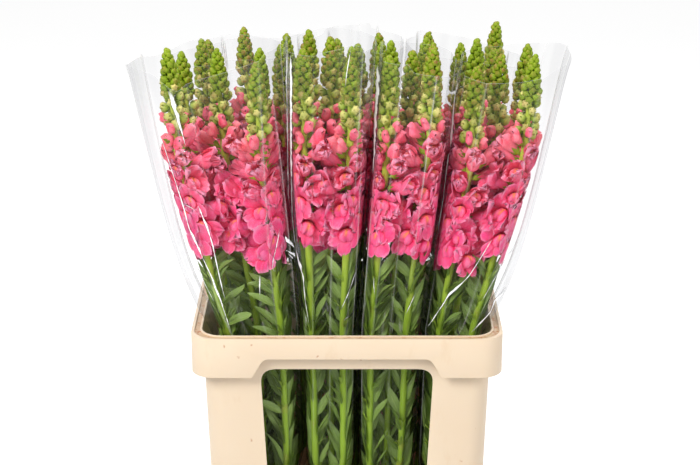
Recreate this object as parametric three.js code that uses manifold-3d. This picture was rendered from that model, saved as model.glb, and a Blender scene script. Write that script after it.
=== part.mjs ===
// Cut snapdragons in a flower container: seven bunches of five stems, each bunch in a clear film sleeve.
// Units are millimetres, +Z is up, and the origin is the middle of the container's base.
import * as THREE from "three";
import { mergeVertices } from "three/addons/utils/BufferGeometryUtils.js";
import Module from "manifold-3d";

const wasm = await Module();
wasm.setup();

// Container
const containerHeight = 442; // to the rim's top edge
const bodyTop = { halfX: 193, halfY: 139, radius: 27 }; // outside of the wall at the very top
const shoulderHeight = 385; // below this the wall has its slow draft, above it flares into the rim
const shoulderInset = 5;
const baseInset = 16;
const wall = 3;
const floor = 5;
const rim = { halfX: 203.5, halfY: 150, radius: 30, bottom: 388, skirt: 3, raisedBottom: 414 };
const raised = { halfBottom: 124, halfTop: 108.5 }; // middle of the front skirt, cut away from below
const windowHole = { bottom: 212, top: 394, halfBottom: 105, halfTop: 113.5, radius: 21 };

// Water and clearances
const waterHeight = 80;
const seat = 0.35; // clearance between pieces that touch
const waterHole = 7.1; // corner radius of the square hole round each stem

// Heights at which the bunches are laid out
const footHeight = floor + seat;
const bandHeight = 140;
const lowHeight = 240;
const rimHeight = 440; // the bunches leave the container here
const topHeight = 790;

// Bunches: middle and half sizes of the film in plan, [x, y, halfX, halfY], at the rim and at the top,
// with the height of the film's edge, how much that edge climbs along X, the lowest tip, and the side
// to which the film bulges out over the rim, if it does.
const bunches = [
  {
    atRim: [-122, -68, 59, 63], atTop: [-175, -110, 94, 79],
    filmTop: 803, filmSlope: 0.26, tips: 800, bulge: -1,
  },
  { atRim: [-24, -68, 36, 63], atTop: [-21, -110, 56, 79], filmTop: 826, filmSlope: 0.05, tips: 802 },
  { atRim: [57, -68, 42, 63], atTop: [88, -110, 49, 79], filmTop: 806, filmSlope: -0.15, tips: 804 },
  {
    atRim: [142, -68, 40, 63], atTop: [207, -110, 66, 79],
    filmTop: 793, filmSlope: 0, tips: 800, bulge: 1,
  },
  { atRim: [-104, 68, 76, 63], atTop: [-150, 54, 98, 79], filmTop: 770, filmSlope: 0.1, tips: 780 },
  { atRim: [14, 68, 39, 63], atTop: [14, 54, 62, 79], filmTop: 790, filmSlope: 0, tips: 784 },
  { atRim: [118, 68, 62, 63], atTop: [164, 54, 84, 79], filmTop: 776, filmSlope: -0.15, tips: 782 },
];
const footDraw = 0.84; // the feet of the bunches stand nearer the middle than their places at the rim
const lowDraw = { x: 0.94, y: 0.88 };
const lowSize = { x: 0.93, y: 0.72 }; // film at lowHeight, as a share of its size at the rim

// Film sleeves
const film = 0.8;
const filmSides = 10;
const filmCorner = 3.2; // exponent of the sleeve's rounded oblong section
const swell = { height: 530, out: 16 }; // the two outer front sleeves bulge out over the rim
const gatherRadius = 13.4; // inside of the film where it is gathered under the band
const hemHeight = bandHeight - 4;
const contentsLimit = 0.89; // what a sleeve holds stays within this share of its half sizes
const filmEase = 0.88; // share of that limit from which leaves and florets are pressed back
const cellGap = 1.2; // between the leaves and florets of neighbouring stems
const cellEase = 0.82;

// Elastic bands
const band = { inside: 16.4, thick: 1.6, tall: 5, sides: 8, ease: 0.9 }; // ease: slack round the film

// Stems
const stemSides = 6;
const stemRadius = 4.6;
const bundleRadius = 7.1; // outer stems round the middle one, under the band
const footSpread = 20;
const stemPlaces = [
  [-0.56, -0.54],
  [0.54, -0.58],
  [0.02, 0.02],
  [-0.54, 0.57],
  [0.56, 0.53],
];
const middlePlace = 2; // the stem that the others stand round
const placeJitter = 0.06;
const tipSpread = 32; // how far the highest tip of a bunch may stand over its lowest
const spikeFan = 0.3; // the spikes grow nearly upright, and keep this share of the fan below them

// Lengths measured down from the tip of a stem
const spikeLength = 74; // dense green buds
const budLength = 140; // looser green buds end here, and the open florets start
const racemeLength = 296; // the lowest florets end here

// Florets
const floretColumns = 4;
const floretRows = 4;
const racemeCore = 9.5;
const racemeHole = 7.1; // corner radius of the square hole that the stem passes through, end to end
const floretTop = [13, 17, 29]; // across, up and out, of an upper lobe
const floretSide = [19, -7, 32];
const floretLip = [0, -21, 30];
const floretPalate = [0, -2, 40];
const floretBud = [0, 10, 25]; // the youngest florets are still shut
const youngSize = 0.74; // size of the upper florets, as a share of the lowest ones
const floretTurn = 0.12; // how far a floret strays round the stem, in radians, and up it
const floretShift = 1.5;

// Buds on the green spike
const spikeRows = 5;
const budRows = 3;
const budReach = 14.5;
const budValley = 5.4;
const spikeReach = 12.5;
const spikeValley = 0.56; // share of the reach

// Leaves
const leavesPerStem = 5;
const leavesInMiddle = 3;
const leaf = { long: 78, wide: 24, keel: 2.6, root: 2.4, widest: 0.45, arch: 0.34 };
const leafRise = { low: 0.63, high: 0.98 }; // how steeply the tip stands over the root, in radians
const leafZone = { low: 256, belowRaceme: 72, jitter: 8 };
const goldenAngle = 2.39996;

// A repeatable sequence of numbers from 0 to 1.
let seed = 20251;
function chance() {
  seed = (seed * 1664525 + 1013904223) % 4294967296;
  return seed / 4294967296;
}

const between = (low, high) => low + (high - low) * chance();
const mix = (a, b, t) => a + (b - a) * t;

// Closed solids for joining and cutting, and back to geometry.
function toSolid(geometry) {
  const bare = geometry.clone();
  bare.deleteAttribute("normal");
  bare.deleteAttribute("uv");
  const merged = mergeVertices(bare, 1e-4);
  return new wasm.Manifold(
    new wasm.Mesh({
      numProp: 3,
      vertProperties: merged.attributes.position.array,
      triVerts: new Uint32Array(merged.index.array),
    }),
  );
}

function toGeometry(solid) {
  const mesh = solid.getMesh();
  const geometry = new THREE.BufferGeometry();
  geometry.setAttribute("position", new THREE.BufferAttribute(mesh.vertProperties, 3));
  geometry.setIndex(new THREE.BufferAttribute(mesh.triVerts, 1));
  geometry.computeVertexNormals();
  return geometry;
}

function fromFaces(points, faces) {
  const geometry = new THREE.BufferGeometry().setFromPoints(points);
  geometry.setIndex(faces.flat());
  geometry.computeVertexNormals();
  return geometry;
}

// A block whose rounded oblong outline is drawn in by a given inset at each level: [[z, inset], ...].
function draftedBlock({ halfX, halfY, radius }, levels) {
  const steps = levels.length - 1;
  const outline = roundedOblong(halfX, halfY, radius);
  const geometry = new THREE.ExtrudeGeometry(outline, {
    depth: steps,
    steps,
    bevelEnabled: false,
    curveSegments: 3,
  });
  const place = geometry.attributes.position;
  for (let i = 0; i < place.count; i += 1) {
    const [z, inset] = levels[Math.round(place.getZ(i))];
    place.setX(i, place.getX(i) - Math.sign(place.getX(i)) * inset);
    place.setY(i, place.getY(i) - Math.sign(place.getY(i)) * inset);
    place.setZ(i, z);
  }
  return geometry;
}

function roundedOblong(halfX, halfY, radius) {
  const shape = new THREE.Shape();
  shape.absarc(halfX - radius, halfY - radius, radius, 0, Math.PI / 2);
  shape.absarc(radius - halfX, halfY - radius, radius, Math.PI / 2, Math.PI);
  shape.absarc(radius - halfX, radius - halfY, radius, Math.PI, 1.5 * Math.PI);
  shape.absarc(halfX - radius, radius - halfY, radius, 1.5 * Math.PI, 2 * Math.PI);
  return shape;
}

// A bar from the middle to the front, whose section is drawn in X and Z.
function barToFront(shape, length) {
  const bar = new THREE.ExtrudeGeometry(shape, {
    depth: length,
    bevelEnabled: false,
    curveSegments: 4,
  });
  return bar.rotateX(Math.PI / 2);
}

// A trapezoid that stands on its long or short edge, with rounded corners where a radius is given.
function trapezoid(bottom, top, halfBottom, halfTop, radius = 0) {
  const shape = new THREE.Shape();
  const lean = (halfTop - halfBottom) / (top - bottom);
  if (radius === 0) {
    shape.moveTo(-halfBottom, bottom);
    shape.lineTo(halfBottom, bottom);
    shape.lineTo(halfTop, top);
    shape.lineTo(-halfTop, top);
    return shape;
  }
  const low = halfBottom + lean * radius;
  const high = halfTop - lean * radius;
  shape.moveTo(radius - halfBottom, bottom);
  shape.lineTo(halfBottom - radius, bottom);
  shape.quadraticCurveTo(halfBottom, bottom, low, bottom + radius);
  shape.lineTo(high, top - radius);
  shape.quadraticCurveTo(halfTop, top, halfTop - radius, top);
  shape.lineTo(radius - halfTop, top);
  shape.quadraticCurveTo(-halfTop, top, -high, top - radius);
  shape.lineTo(-low, bottom + radius);
  shape.quadraticCurveTo(-halfBottom, bottom, radius - halfBottom, bottom);
  return shape;
}

const wallInset = (z) =>
  z < shoulderHeight
    ? mix(baseInset, shoulderInset, z / shoulderHeight)
    : mix(shoulderInset, 0, (z - shoulderHeight) / (containerHeight - shoulderHeight));

function containerGeometry() {
  const body = draftedBlock(bodyTop, [
    [0, baseInset],
    [shoulderHeight, shoulderInset],
    [containerHeight, 0],
  ]);
  const hollow = draftedBlock(bodyTop, [
    [floor, wallInset(floor) + wall],
    [shoulderHeight, shoulderInset + wall],
    [containerHeight + 1, wall],
  ]);
  const rimBlock = draftedBlock(rim, [
    [rim.bottom, 0],
    [containerHeight, 0],
  ]);
  const channel = draftedBlock(rim, [
    [rim.bottom - 1, rim.skirt],
    [containerHeight - rim.skirt, rim.skirt],
  ]);
  const under = rim.bottom - 1;
  const relief = barToFront(
    trapezoid(under, rim.raisedBottom, raised.halfBottom, raised.halfTop),
    rim.halfY + 5,
  );
  const { bottom, top, halfBottom, halfTop, radius } = windowHole;
  const opening = barToFront(trapezoid(bottom, top, halfBottom, halfTop, radius), rim.halfY);
  const skirt = toSolid(rimBlock).subtract(toSolid(channel)).subtract(toSolid(relief));
  return toGeometry(toSolid(body).add(skirt).subtract(toSolid(hollow)).subtract(toSolid(opening)));
}

// Middle and half sizes of a bunch's film in plan at a height.
function section(bunch, z) {
  const [rimX, rimY, rimHalfX, rimHalfY] = bunch.atRim;
  if (z < rimHeight) {
    const t = (z - lowHeight) / (rimHeight - lowHeight);
    return {
      x: rimX * mix(lowDraw.x, 1, t),
      y: rimY * mix(lowDraw.y, 1, t),
      halfX: rimHalfX * mix(lowSize.x, 1, t),
      halfY: rimHalfY * mix(lowSize.y, 1, t),
    };
  }
  const [topX, topY, topHalfX, topHalfY] = bunch.atTop;
  const t = (z - rimHeight) / (topHeight - rimHeight);
  return {
    x: mix(rimX, topX, t),
    y: mix(rimY, topY, t),
    halfX: mix(rimHalfX, topHalfX, t),
    halfY: mix(rimHalfY, topHalfY, t),
  };
}

const foot = (bunch) => ({ x: bunch.atRim[0] * footDraw, y: bunch.atRim[1] * footDraw });

const budStart = (stem) => stem.tip - budLength + 4;

// Where the middle of a stem is at a height: spread at its foot, pressed together under the band,
// fanned out with the sleeve, and more upright again over the florets.
function stemAt(stem, z) {
  const { bunch, across, along } = stem;
  if (z >= lowHeight) {
    const upright = Math.max(0, z - budStart(stem)) * (1 - spikeFan);
    const plan = section(bunch, z - upright);
    return { x: plan.x + across * plan.halfX, y: plan.y + along * plan.halfY };
  }
  const middle = foot(bunch);
  const reach = Math.hypot(across, along);
  const share = reach < 0.3 ? 0 : 1 / reach;
  const ring = (radius) => ({
    x: middle.x + across * share * radius,
    y: middle.y + along * share * radius,
  });
  const bound = ring(bundleRadius);
  if (z < bandHeight) {
    const start = ring(footSpread);
    const t = (z - footHeight) / (bandHeight - footHeight);
    return { x: mix(start.x, bound.x, t), y: mix(start.y, bound.y, t) };
  }
  const end = stemAt(stem, lowHeight);
  const t = (z - bandHeight) / (lowHeight - bandHeight);
  return { x: mix(bound.x, end.x, t), y: mix(bound.y, end.y, t) };
}

function layStems(bunch) {
  return stemPlaces.map(([across, along], index) => ({
    bunch,
    index,
    across: across + (index === middlePlace ? 0 : between(-placeJitter, placeJitter)),
    along: along + (index === middlePlace ? 0 : between(-placeJitter, placeJitter)),
    tip: bunch.tips + between(0, tipSpread),
    turn: between(0, 2 * Math.PI),
  }));
}

// Eases a length so that it never passes its limit.
function eased(length, limit, start) {
  const from = limit * start;
  if (length <= from) return length;
  const span = limit - from;
  return from + span * (1 - Math.exp((from - length) / span));
}

// Bends a point of a stem's leaves or florets in, clear of the stems beside it and of the film.
function kept(stem, point, neighbours) {
  const own = stemAt(stem, point.z);
  let { x, y } = point;
  for (const other of neighbours) {
    const place = stemAt(other, point.z);
    const apart = Math.hypot(place.x - own.x, place.y - own.y);
    const alongX = (place.x - own.x) / apart;
    const alongY = (place.y - own.y) / apart;
    const reach = (x - own.x) * alongX + (y - own.y) * alongY;
    const back = reach - eased(reach, (apart - cellGap) / 2, cellEase);
    x -= back * alongX;
    y -= back * alongY;
  }
  const plan = section(stem.bunch, point.z);
  const u = (x - plan.x) / plan.halfX;
  const v = (y - plan.y) / plan.halfY;
  const out = (Math.abs(u) ** filmCorner + Math.abs(v) ** filmCorner) ** (1 / filmCorner);
  const scale = out > 0 ? eased(out, contentsLimit, filmEase) / out : 1;
  return new THREE.Vector3(plan.x + u * scale * plan.halfX, plan.y + v * scale * plan.halfY, point.z);
}

// A closed tube through rings of points, with a point or a flat cap at its end. A face of the tube may
// carry a leaf, which grows out of a small triangle inside that face.
function tube(rings, tipPoint, leaves = []) {
  const sides = rings[0].length;
  const points = rings.flat();
  const faces = [];
  for (let row = 0; row + 1 < rings.length; row += 1) {
    for (let side = 0; side < sides; side += 1) {
      const a = row * sides + side;
      const b = row * sides + ((side + 1) % sides);
      const grown = leaves.find((blade) => blade.row === row && blade.side === side);
      if (!grown) {
        // Each bud stands alone, because a face is split along its lower diagonal.
        const rising = points[a].distanceTo(points[b + sides]);
        const falling = points[b].distanceTo(points[a + sides]);
        if (rising < falling) faces.push([a, b, b + sides], [a, b + sides, a + sides]);
        else faces.push([a, b, a + sides], [b, b + sides, a + sides]);
        continue;
      }
      const [keel, right, left] = [0, 1, 2].map((k) => points.length + k);
      const [midKeel, midRight, midLeft, tip] = [3, 4, 5, 6].map((k) => points.length + k);
      points.push(...grown.root, ...grown.middle, grown.tip);
      faces.push([a, b, keel], [b, right, keel], [b, b + sides, right]);
      faces.push([b + sides, left, right], [b + sides, a + sides, left]);
      faces.push([a + sides, a, left], [a, keel, left]);
      faces.push([keel, right, midRight], [keel, midRight, midKeel]);
      faces.push([right, left, midLeft], [right, midLeft, midRight]);
      faces.push([left, keel, midKeel], [left, midKeel, midLeft]);
      faces.push([midKeel, midRight, tip], [midRight, midLeft, tip], [midLeft, midKeel, tip]);
    }
  }
  for (let side = 1; side + 1 < sides; side += 1) faces.push([0, side + 1, side]);
  const last = (rings.length - 1) * sides;
  if (tipPoint) {
    points.push(tipPoint);
    for (let side = 0; side < sides; side += 1) {
      faces.push([last + side, last + ((side + 1) % sides), points.length - 1]);
    }
  } else {
    for (let side = 1; side + 1 < sides; side += 1) faces.push([last, last + side, last + side + 1]);
  }
  return fromFaces(points, faces);
}

function ringRound(stem, z, radiusOf, sides = stemSides) {
  const middle = stemAt(stem, z);
  return Array.from({ length: sides }, (_, side) => {
    const angle = stem.turn + (side / sides) * 2 * Math.PI;
    const radius = radiusOf(side);
    return new THREE.Vector3(
      middle.x + Math.cos(angle) * radius,
      middle.y + Math.sin(angle) * radius,
      z,
    );
  });
}

// A bare stem that swells into rows of buds, every other corner of a row standing out as a bud.
function stemGeometry(stem, neighbours) {
  const rings = [footHeight, bandHeight, lowHeight, rimHeight].map((z) =>
    ringRound(stem, z, () => stemRadius),
  );
  const start = budStart(stem);
  const spikeStart = stem.tip - spikeLength;
  rings.push(ringRound(stem, start, () => stemRadius));
  const addRow = (z, reach, valley, row) => {
    const out = (side) => ((side + row) % 2 ? reach : valley);
    rings.push(ringRound(stem, z, out).map((point) => kept(stem, point, neighbours)));
  };
  for (let row = 0; row < budRows; row += 1) {
    addRow(mix(start, spikeStart, (row + 0.6) / budRows), budReach, budValley, row);
  }
  for (let row = 0; row < spikeRows; row += 1) {
    const t = (row + 0.4) / spikeRows;
    const reach = spikeReach * Math.sqrt(1 - t * t) + 1;
    addRow(mix(spikeStart, stem.tip, t), reach, reach * spikeValley, row + budRows);
  }
  const end = stemAt(stem, stem.tip);
  return tube(rings, new THREE.Vector3(end.x, end.y, stem.tip), leavesOf(stem, neighbours, rings));
}

// A leaf on one face of the stem: narrow at its root, with a keel under its widest part.
function leafOn(stem, neighbours, rings, height, side, rise) {
  const row = height < rimHeight ? 2 : 3;
  const next = (side + 1) % stemSides;
  const [low, high] = [rings[row], rings[row + 1]];
  const share = (z) => (z - low[side].z) / (high[side].z - low[side].z);
  const onFace = (across, z) =>
    low[side]
      .clone()
      .lerp(low[next], across)
      .lerp(high[side].clone().lerp(high[next], across), share(z));
  const start = onFace(0.5, height);
  const right = low[next].clone().sub(low[side]).normalize();
  const out = new THREE.Vector3(right.y, -right.x, 0);
  const reach = (length, lift) =>
    start
      .clone()
      .addScaledVector(out, length * Math.cos(lift))
      .setZ(height + length * Math.sin(lift));
  const wide = reach(leaf.long * leaf.widest, rise + leaf.arch);
  const bend = (point) => kept(stem, point, neighbours);
  return {
    row,
    side,
    root: [onFace(0.5, height - leaf.root), onFace(0.75, height), onFace(0.25, height)],
    middle: [
      bend(wide.clone().setZ(wide.z - leaf.keel)),
      bend(wide.clone().addScaledVector(right, leaf.wide / 2)),
      bend(wide.clone().addScaledVector(right, -leaf.wide / 2)),
    ],
    tip: bend(reach(leaf.long, rise)),
  };
}

function leavesOf(stem, neighbours, rings) {
  const top = stem.tip - racemeLength - leafZone.belowRaceme;
  const leaves = stem.index === middlePlace ? leavesInMiddle : leavesPerStem;
  return Array.from({ length: leaves }, (_, count) => {
    const height = mix(leafZone.low, top, count / (leaves - 1)) - leafZone.jitter * chance();
    const side = Math.round((count * goldenAngle * stemSides) / (2 * Math.PI)) % stemSides;
    return leafOn(stem, neighbours, rings, height, side, between(leafRise.low, leafRise.high));
  });
}

function stemsGeometry(stems) {
  let joined = null;
  for (const stem of stems) {
    const neighbours = stems.filter((other) => other !== stem);
    const solid = toSolid(stemGeometry(stem, neighbours));
    joined = joined ? joined.add(solid) : solid;
  }
  return toGeometry(joined);
}

// The florets of one stem: a sleeve-like core round the stem, whose surface is raised into staggered
// florets, each with two upper lobes, two side lobes, a lower lip and a swollen palate.
function racemeGeometry(stem, neighbours) {
  const low = stem.tip - racemeLength;
  const high = stem.tip - budLength;
  const pitch = (high - low) / floretRows;
  const step = (2 * Math.PI) / floretColumns;
  const points = [];
  const faces = [];
  const corner = (column, row) => row * floretColumns + ((column + floretColumns) % floretColumns);
  const polar = (radius, angle, z) => {
    const middle = stemAt(stem, z);
    const x = middle.x + radius * Math.cos(angle);
    const y = middle.y + radius * Math.sin(angle);
    return new THREE.Vector3(x, y, z);
  };
  for (let row = 0; row <= floretRows; row += 1) {
    for (let column = 0; column < floretColumns; column += 1) {
      const radius = row % floretRows ? racemeCore : racemeHole;
      points.push(polar(radius, stem.turn + step * (column + row / 2), low + pitch * row));
    }
  }
  for (let row = 0; row < floretRows; row += 1) {
    const young = row / (floretRows - 1);
    const size = mix(1, youngSize, young ** 2);
    for (let column = 0; column < floretColumns; column += 1) {
      const stray = between(-floretTurn, floretTurn);
      const angle = stem.turn + step * (column + 0.5 + (row + 0.5) / 2) + stray;
      const height = low + pitch * (row + 0.5) + between(-floretShift, floretShift);
      const a = corner(column, row);
      const b = corner(column + 1, row);
      const d = corner(column, row + 1);
      const e = corner(column + 1, row + 1);
      const lobe = ([across, up, out], mirror) => {
        const reach = Math.hypot(out, across) * size;
        const turn = Math.atan2(across * mirror, out);
        points.push(kept(stem, polar(reach, angle + turn, height + up * size), neighbours));
        return points.length - 1;
      };
      if (row === floretRows - 1) {
        const bud = lobe(floretBud, 1);
        faces.push([a, b, bud], [b, e, bud], [e, d, bud], [d, a, bud]);
        continue;
      }
      const lip = lobe(floretLip, 1);
      const right = lobe(floretSide, 1);
      const upRight = lobe(floretTop, 1);
      const upLeft = lobe(floretTop, -1);
      const left = lobe(floretSide, -1);
      const palate = lobe(floretPalate, 1);
      faces.push([a, b, lip], [b, right, lip], [b, e, right], [e, upRight, right], [e, d, upRight]);
      faces.push([d, upLeft, upRight], [d, a, left], [d, left, upLeft], [a, lip, left]);
      faces.push([lip, right, palate], [right, upRight, palate], [upRight, upLeft, palate]);
      faces.push([upLeft, left, palate], [left, lip, palate]);
    }
  }
  const turned = floretRows / 2; // how many columns the rows have turned by, from bottom to top
  for (let column = 0; column < floretColumns; column += 1) {
    const next = corner(column + 1, 0);
    const above = corner(column - turned, floretRows);
    const aboveNext = corner(column + 1 - turned, floretRows);
    faces.push([column, above, aboveNext], [column, aboveNext, next]);
  }
  return fromFaces(points, faces);
}

// The film of a sleeve: gathered under the band, then opening upwards to a slanted edge.
function sleeveGeometry(bunch) {
  const middle = foot(bunch);
  const gather = { x: middle.x, y: middle.y, halfX: gatherRadius, halfY: gatherRadius };
  const ring = (plan, heightAt, grown, corner) =>
    Array.from({ length: filmSides }, (_, side) => {
      const angle = ((side + 0.5) / filmSides) * 2 * Math.PI;
      const cos = Math.cos(angle);
      const sin = Math.sin(angle);
      const reach = (Math.abs(cos) ** corner + Math.abs(sin) ** corner) ** (-1 / corner);
      const x = plan.x + (plan.halfX + grown) * reach * cos;
      const y = plan.y + (plan.halfY + grown) * reach * sin;
      return new THREE.Vector3(x, y, heightAt(x));
    });
  const topPlan = section(bunch, bunch.filmTop);
  const edge = (x) => bunch.filmTop + bunch.filmSlope * (x - topPlan.x);
  const bulged = section(bunch, swell.height);
  bulged.x += ((bunch.bulge ?? 0) * swell.out) / 2;
  bulged.halfX += swell.out / 2;
  const bulge = (grown) => (bunch.bulge ? [ring(bulged, () => swell.height, grown, filmCorner)] : []);
  const walls = [0, film].map((grown) => [
    ring(gather, () => hemHeight, grown, 2),
    ring(section(bunch, lowHeight), () => lowHeight, grown, filmCorner),
    ring(section(bunch, rimHeight), () => rimHeight, grown, filmCorner),
    ...bulge(grown),
    ring(topPlan, edge, grown, filmCorner),
  ]);
  const rows = walls[0].length;
  const points = walls.flat(2);
  const faces = [];
  const at = (skin, row, side) => (skin * rows + row) * filmSides + (side % filmSides);
  for (let side = 0; side < filmSides; side += 1) {
    for (let row = 0; row + 1 < rows; row += 1) {
      const inner = [at(0, row, side), at(0, row, side + 1), at(0, row + 1, side + 1), at(0, row + 1, side)];
      const outer = [at(1, row, side), at(1, row, side + 1), at(1, row + 1, side + 1), at(1, row + 1, side)];
      faces.push([inner[0], inner[2], inner[1]], [inner[0], inner[3], inner[2]]);
      faces.push([outer[0], outer[1], outer[2]], [outer[0], outer[2], outer[3]]);
    }
    const last = rows - 1;
    faces.push([at(0, 0, side), at(0, 0, side + 1), at(1, 0, side + 1)]);
    faces.push([at(0, 0, side), at(1, 0, side + 1), at(1, 0, side)]);
    faces.push([at(0, last, side), at(1, last, side + 1), at(0, last, side + 1)]);
    faces.push([at(0, last, side), at(1, last, side), at(1, last, side + 1)]);
  }
  return fromFaces(points, faces);
}

// The band round the gathered film, which is already opening out at the band's upper edge.
function bandGeometry(bunch) {
  const share = (bandHeight + band.tall / 2 - hemHeight) / (lowHeight - hemHeight);
  const stretch = (half) =>
    (mix(gatherRadius, half, share) + film + band.ease) / band.inside;
  const [, , halfX, halfY] = bunch.atRim;
  const inside = band.inside / Math.cos(Math.PI / band.sides);
  const half = band.tall / 2;
  const profile = [
    [inside, -half],
    [inside + band.thick, -half],
    [inside + band.thick, half],
    [inside, half],
    [inside, -half],
  ].map(([x, y]) => new THREE.Vector2(x, y));
  const ring = new THREE.LatheGeometry(profile, band.sides).rotateX(Math.PI / 2);
  return ring.scale(stretch(halfX * lowSize.x), stretch(halfY * lowSize.y), 1);
}

function waterGeometry(stems) {
  const inset = (z) => wallInset(z) + wall + seat;
  let water = toSolid(
    draftedBlock(bodyTop, [
      [footHeight, inset(footHeight)],
      [waterHeight, inset(waterHeight)],
    ]),
  );
  for (const stem of stems) {
    const rings = [footHeight - 4, waterHeight + 4].map((z) =>
      ringRound(stem, z, () => waterHole, 4),
    );
    water = water.subtract(toSolid(tube(rings)));
  }
  return toGeometry(water);
}

const plastic = new THREE.MeshStandardMaterial({ color: 0xf6dfbd, roughness: 0.5 });
const clearFilm = new THREE.MeshStandardMaterial({
  color: 0xf4f7f8,
  roughness: 0.08,
  transparent: true,
  opacity: 0.25,
});
const rubber = new THREE.MeshStandardMaterial({ color: 0xb98a4e, roughness: 0.7 });
const green = new THREE.MeshStandardMaterial({ color: 0x6f9a38, roughness: 0.55 });
const pink = new THREE.MeshStandardMaterial({ color: 0xec5484, roughness: 0.5 });
const waterClear = new THREE.MeshStandardMaterial({
  color: 0xcfe0dc,
  roughness: 0.02,
  transparent: true,
  opacity: 0.5,
});

function named(name, geometry, material) {
  const mesh = new THREE.Mesh(geometry, material.clone());
  mesh.name = name;
  return mesh;
}

const model = new THREE.Group();
model.add(named("container", containerGeometry(), plastic));

const laid = bunches.map(layStems);
model.add(named("water", waterGeometry(laid.flat()), waterClear));

bunches.forEach((bunch, index) => {
  const stems = laid[index];
  const label = index + 1;
  const middle = foot(bunch);
  const group = new THREE.Group();
  const tie = named(`band_${label}`, bandGeometry(bunch), rubber);
  tie.position.set(middle.x, middle.y, bandHeight);
  group.add(tie);
  group.add(named(`sleeve_${label}`, sleeveGeometry(bunch), clearFilm));
  group.add(named(`stems_${label}`, stemsGeometry(stems), green));
  for (const stem of stems) {
    const neighbours = stems.filter((other) => other !== stem);
    group.add(named(`raceme_${label}_${stem.index + 1}`, racemeGeometry(stem, neighbours), pink));
  }
  model.add(group);
});

export default model;
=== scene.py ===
# Cut snapdragons in a flower container: seven bunches of five stems, each in a clear film sleeve.
# Lengths are millimetres, as in the solids, until a mesh is made from them.
import math

import bmesh
import bpy
import numpy as np
from mathutils import Matrix, Vector


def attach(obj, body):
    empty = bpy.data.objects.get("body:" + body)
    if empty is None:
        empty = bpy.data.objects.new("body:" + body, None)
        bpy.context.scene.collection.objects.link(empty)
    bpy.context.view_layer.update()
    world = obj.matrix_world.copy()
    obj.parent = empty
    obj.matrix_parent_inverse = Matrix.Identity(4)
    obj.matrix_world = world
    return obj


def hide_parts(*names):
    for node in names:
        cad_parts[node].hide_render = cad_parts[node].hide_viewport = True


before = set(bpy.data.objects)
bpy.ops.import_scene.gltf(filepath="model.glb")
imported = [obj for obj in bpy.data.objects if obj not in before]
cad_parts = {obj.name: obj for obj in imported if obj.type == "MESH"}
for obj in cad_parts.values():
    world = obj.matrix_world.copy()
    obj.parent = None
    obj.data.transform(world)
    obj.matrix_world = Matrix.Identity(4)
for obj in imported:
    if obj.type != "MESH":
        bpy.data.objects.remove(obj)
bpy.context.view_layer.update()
print("stage 1: the packed solids are loaded")

# where the bunches and their stems stand, the same as the solids
layout = {
    "foot": 5.35, "band": 140, "hem": 136, "gather": 13.4, "low": 240, "rim": 440, "top": 790,
    "footDraw": 0.84, "lowDraw": (0.94, 0.88), "lowSize": (0.93, 0.72), "bulge": 16,
    "bundleRadius": 7.1, "footSpread": 20, "placeJitter": 0.06, "tipSpread": 32,
    "middlePlace": 2, "budLength": 140, "racemeLength": 296, "spikeFan": 0.3, "spikeStart": 4,
    "places": [(-0.56, -0.54), (0.54, -0.58), (0.02, 0.02), (-0.54, 0.57), (0.56, 0.53)],
}
bunches = [
    {"atRim": (-122, -68, 59, 63), "atTop": (-175, -110, 94, 79),
     "film": 803, "tips": 800, "fill": 0.93, "bulge": -1},
    {"atRim": (-24, -68, 36, 63), "atTop": (-21, -110, 56, 79),
     "film": 826, "tips": 802, "fill": 0.975, "bulge": 0},
    {"atRim": (57, -68, 42, 63), "atTop": (88, -110, 49, 79),
     "film": 806, "tips": 804, "fill": 0.975, "bulge": 0},
    {"atRim": (142, -68, 40, 63), "atTop": (207, -110, 66, 79),
     "film": 793, "tips": 800, "fill": 0.95, "bulge": 1},
    {"atRim": (-104, 68, 76, 63), "atTop": (-150, 54, 98, 79),
     "film": 770, "tips": 780, "fill": 0.96, "bulge": 0},
    {"atRim": (14, 68, 39, 63), "atTop": (14, 54, 62, 79),
     "film": 790, "tips": 784, "fill": 0.96, "bulge": 0},
    {"atRim": (118, 68, 62, 63), "atTop": (164, 54, 84, 79),
     "film": 776, "tips": 782, "fill": 0.96, "bulge": 0},
]
goldenAngle = 2.39996  # between one leaf or floret and the next, in radians
drawState = [20251]
dice = np.random.RandomState(4107)


def chance():  # the same repeatable draw that places the solid stems
    drawState[0] = (drawState[0] * 1664525 + 1013904223) % 4294967296
    return drawState[0] / 4294967296


def between(low, high):
    return low + (high - low) * chance()


def vary(low, high):
    return float(dice.uniform(low, high))


def mix(a, b, t):
    return a + (b - a) * t


def smooth(t):
    t = np.clip(t, 0, 1)
    return t * t * (3 - 2 * t)


def filmPlan(bunch, z):  # middle x, middle y, half x and half y of the sleeve at each height
    z = np.asarray(z, float)
    rim, top = bunch["atRim"], bunch["atTop"]
    t = (z - layout["low"]) / (layout["rim"] - layout["low"])
    up = (z - layout["rim"]) / (layout["top"] - layout["rim"])
    below = z < layout["rim"]
    scale = [mix(share, 1, t) for share in layout["lowDraw"] + layout["lowSize"]]
    return [np.where(below, rim[k] * scale[k], mix(rim[k], top[k], up)) for k in range(4)]


def bulgedPlan(bunch, z):  # the film of the two outer front sleeves bulges out over the rim
    x, y, halfX, halfY = filmPlan(bunch, z)
    up = np.clip((np.asarray(z, float) - layout["rim"]) / (layout["top"] - layout["rim"]), 0, 1)
    out = layout["bulge"] / 2 * np.sin(math.pi * up ** 0.6)
    return [x + bunch["bulge"] * out, y, halfX + abs(bunch["bulge"]) * out, halfY]


def bundleFoot(bunch):  # where the bunch stands on the container's floor
    return np.array(bunch["atRim"][:2]) * layout["footDraw"]


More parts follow.
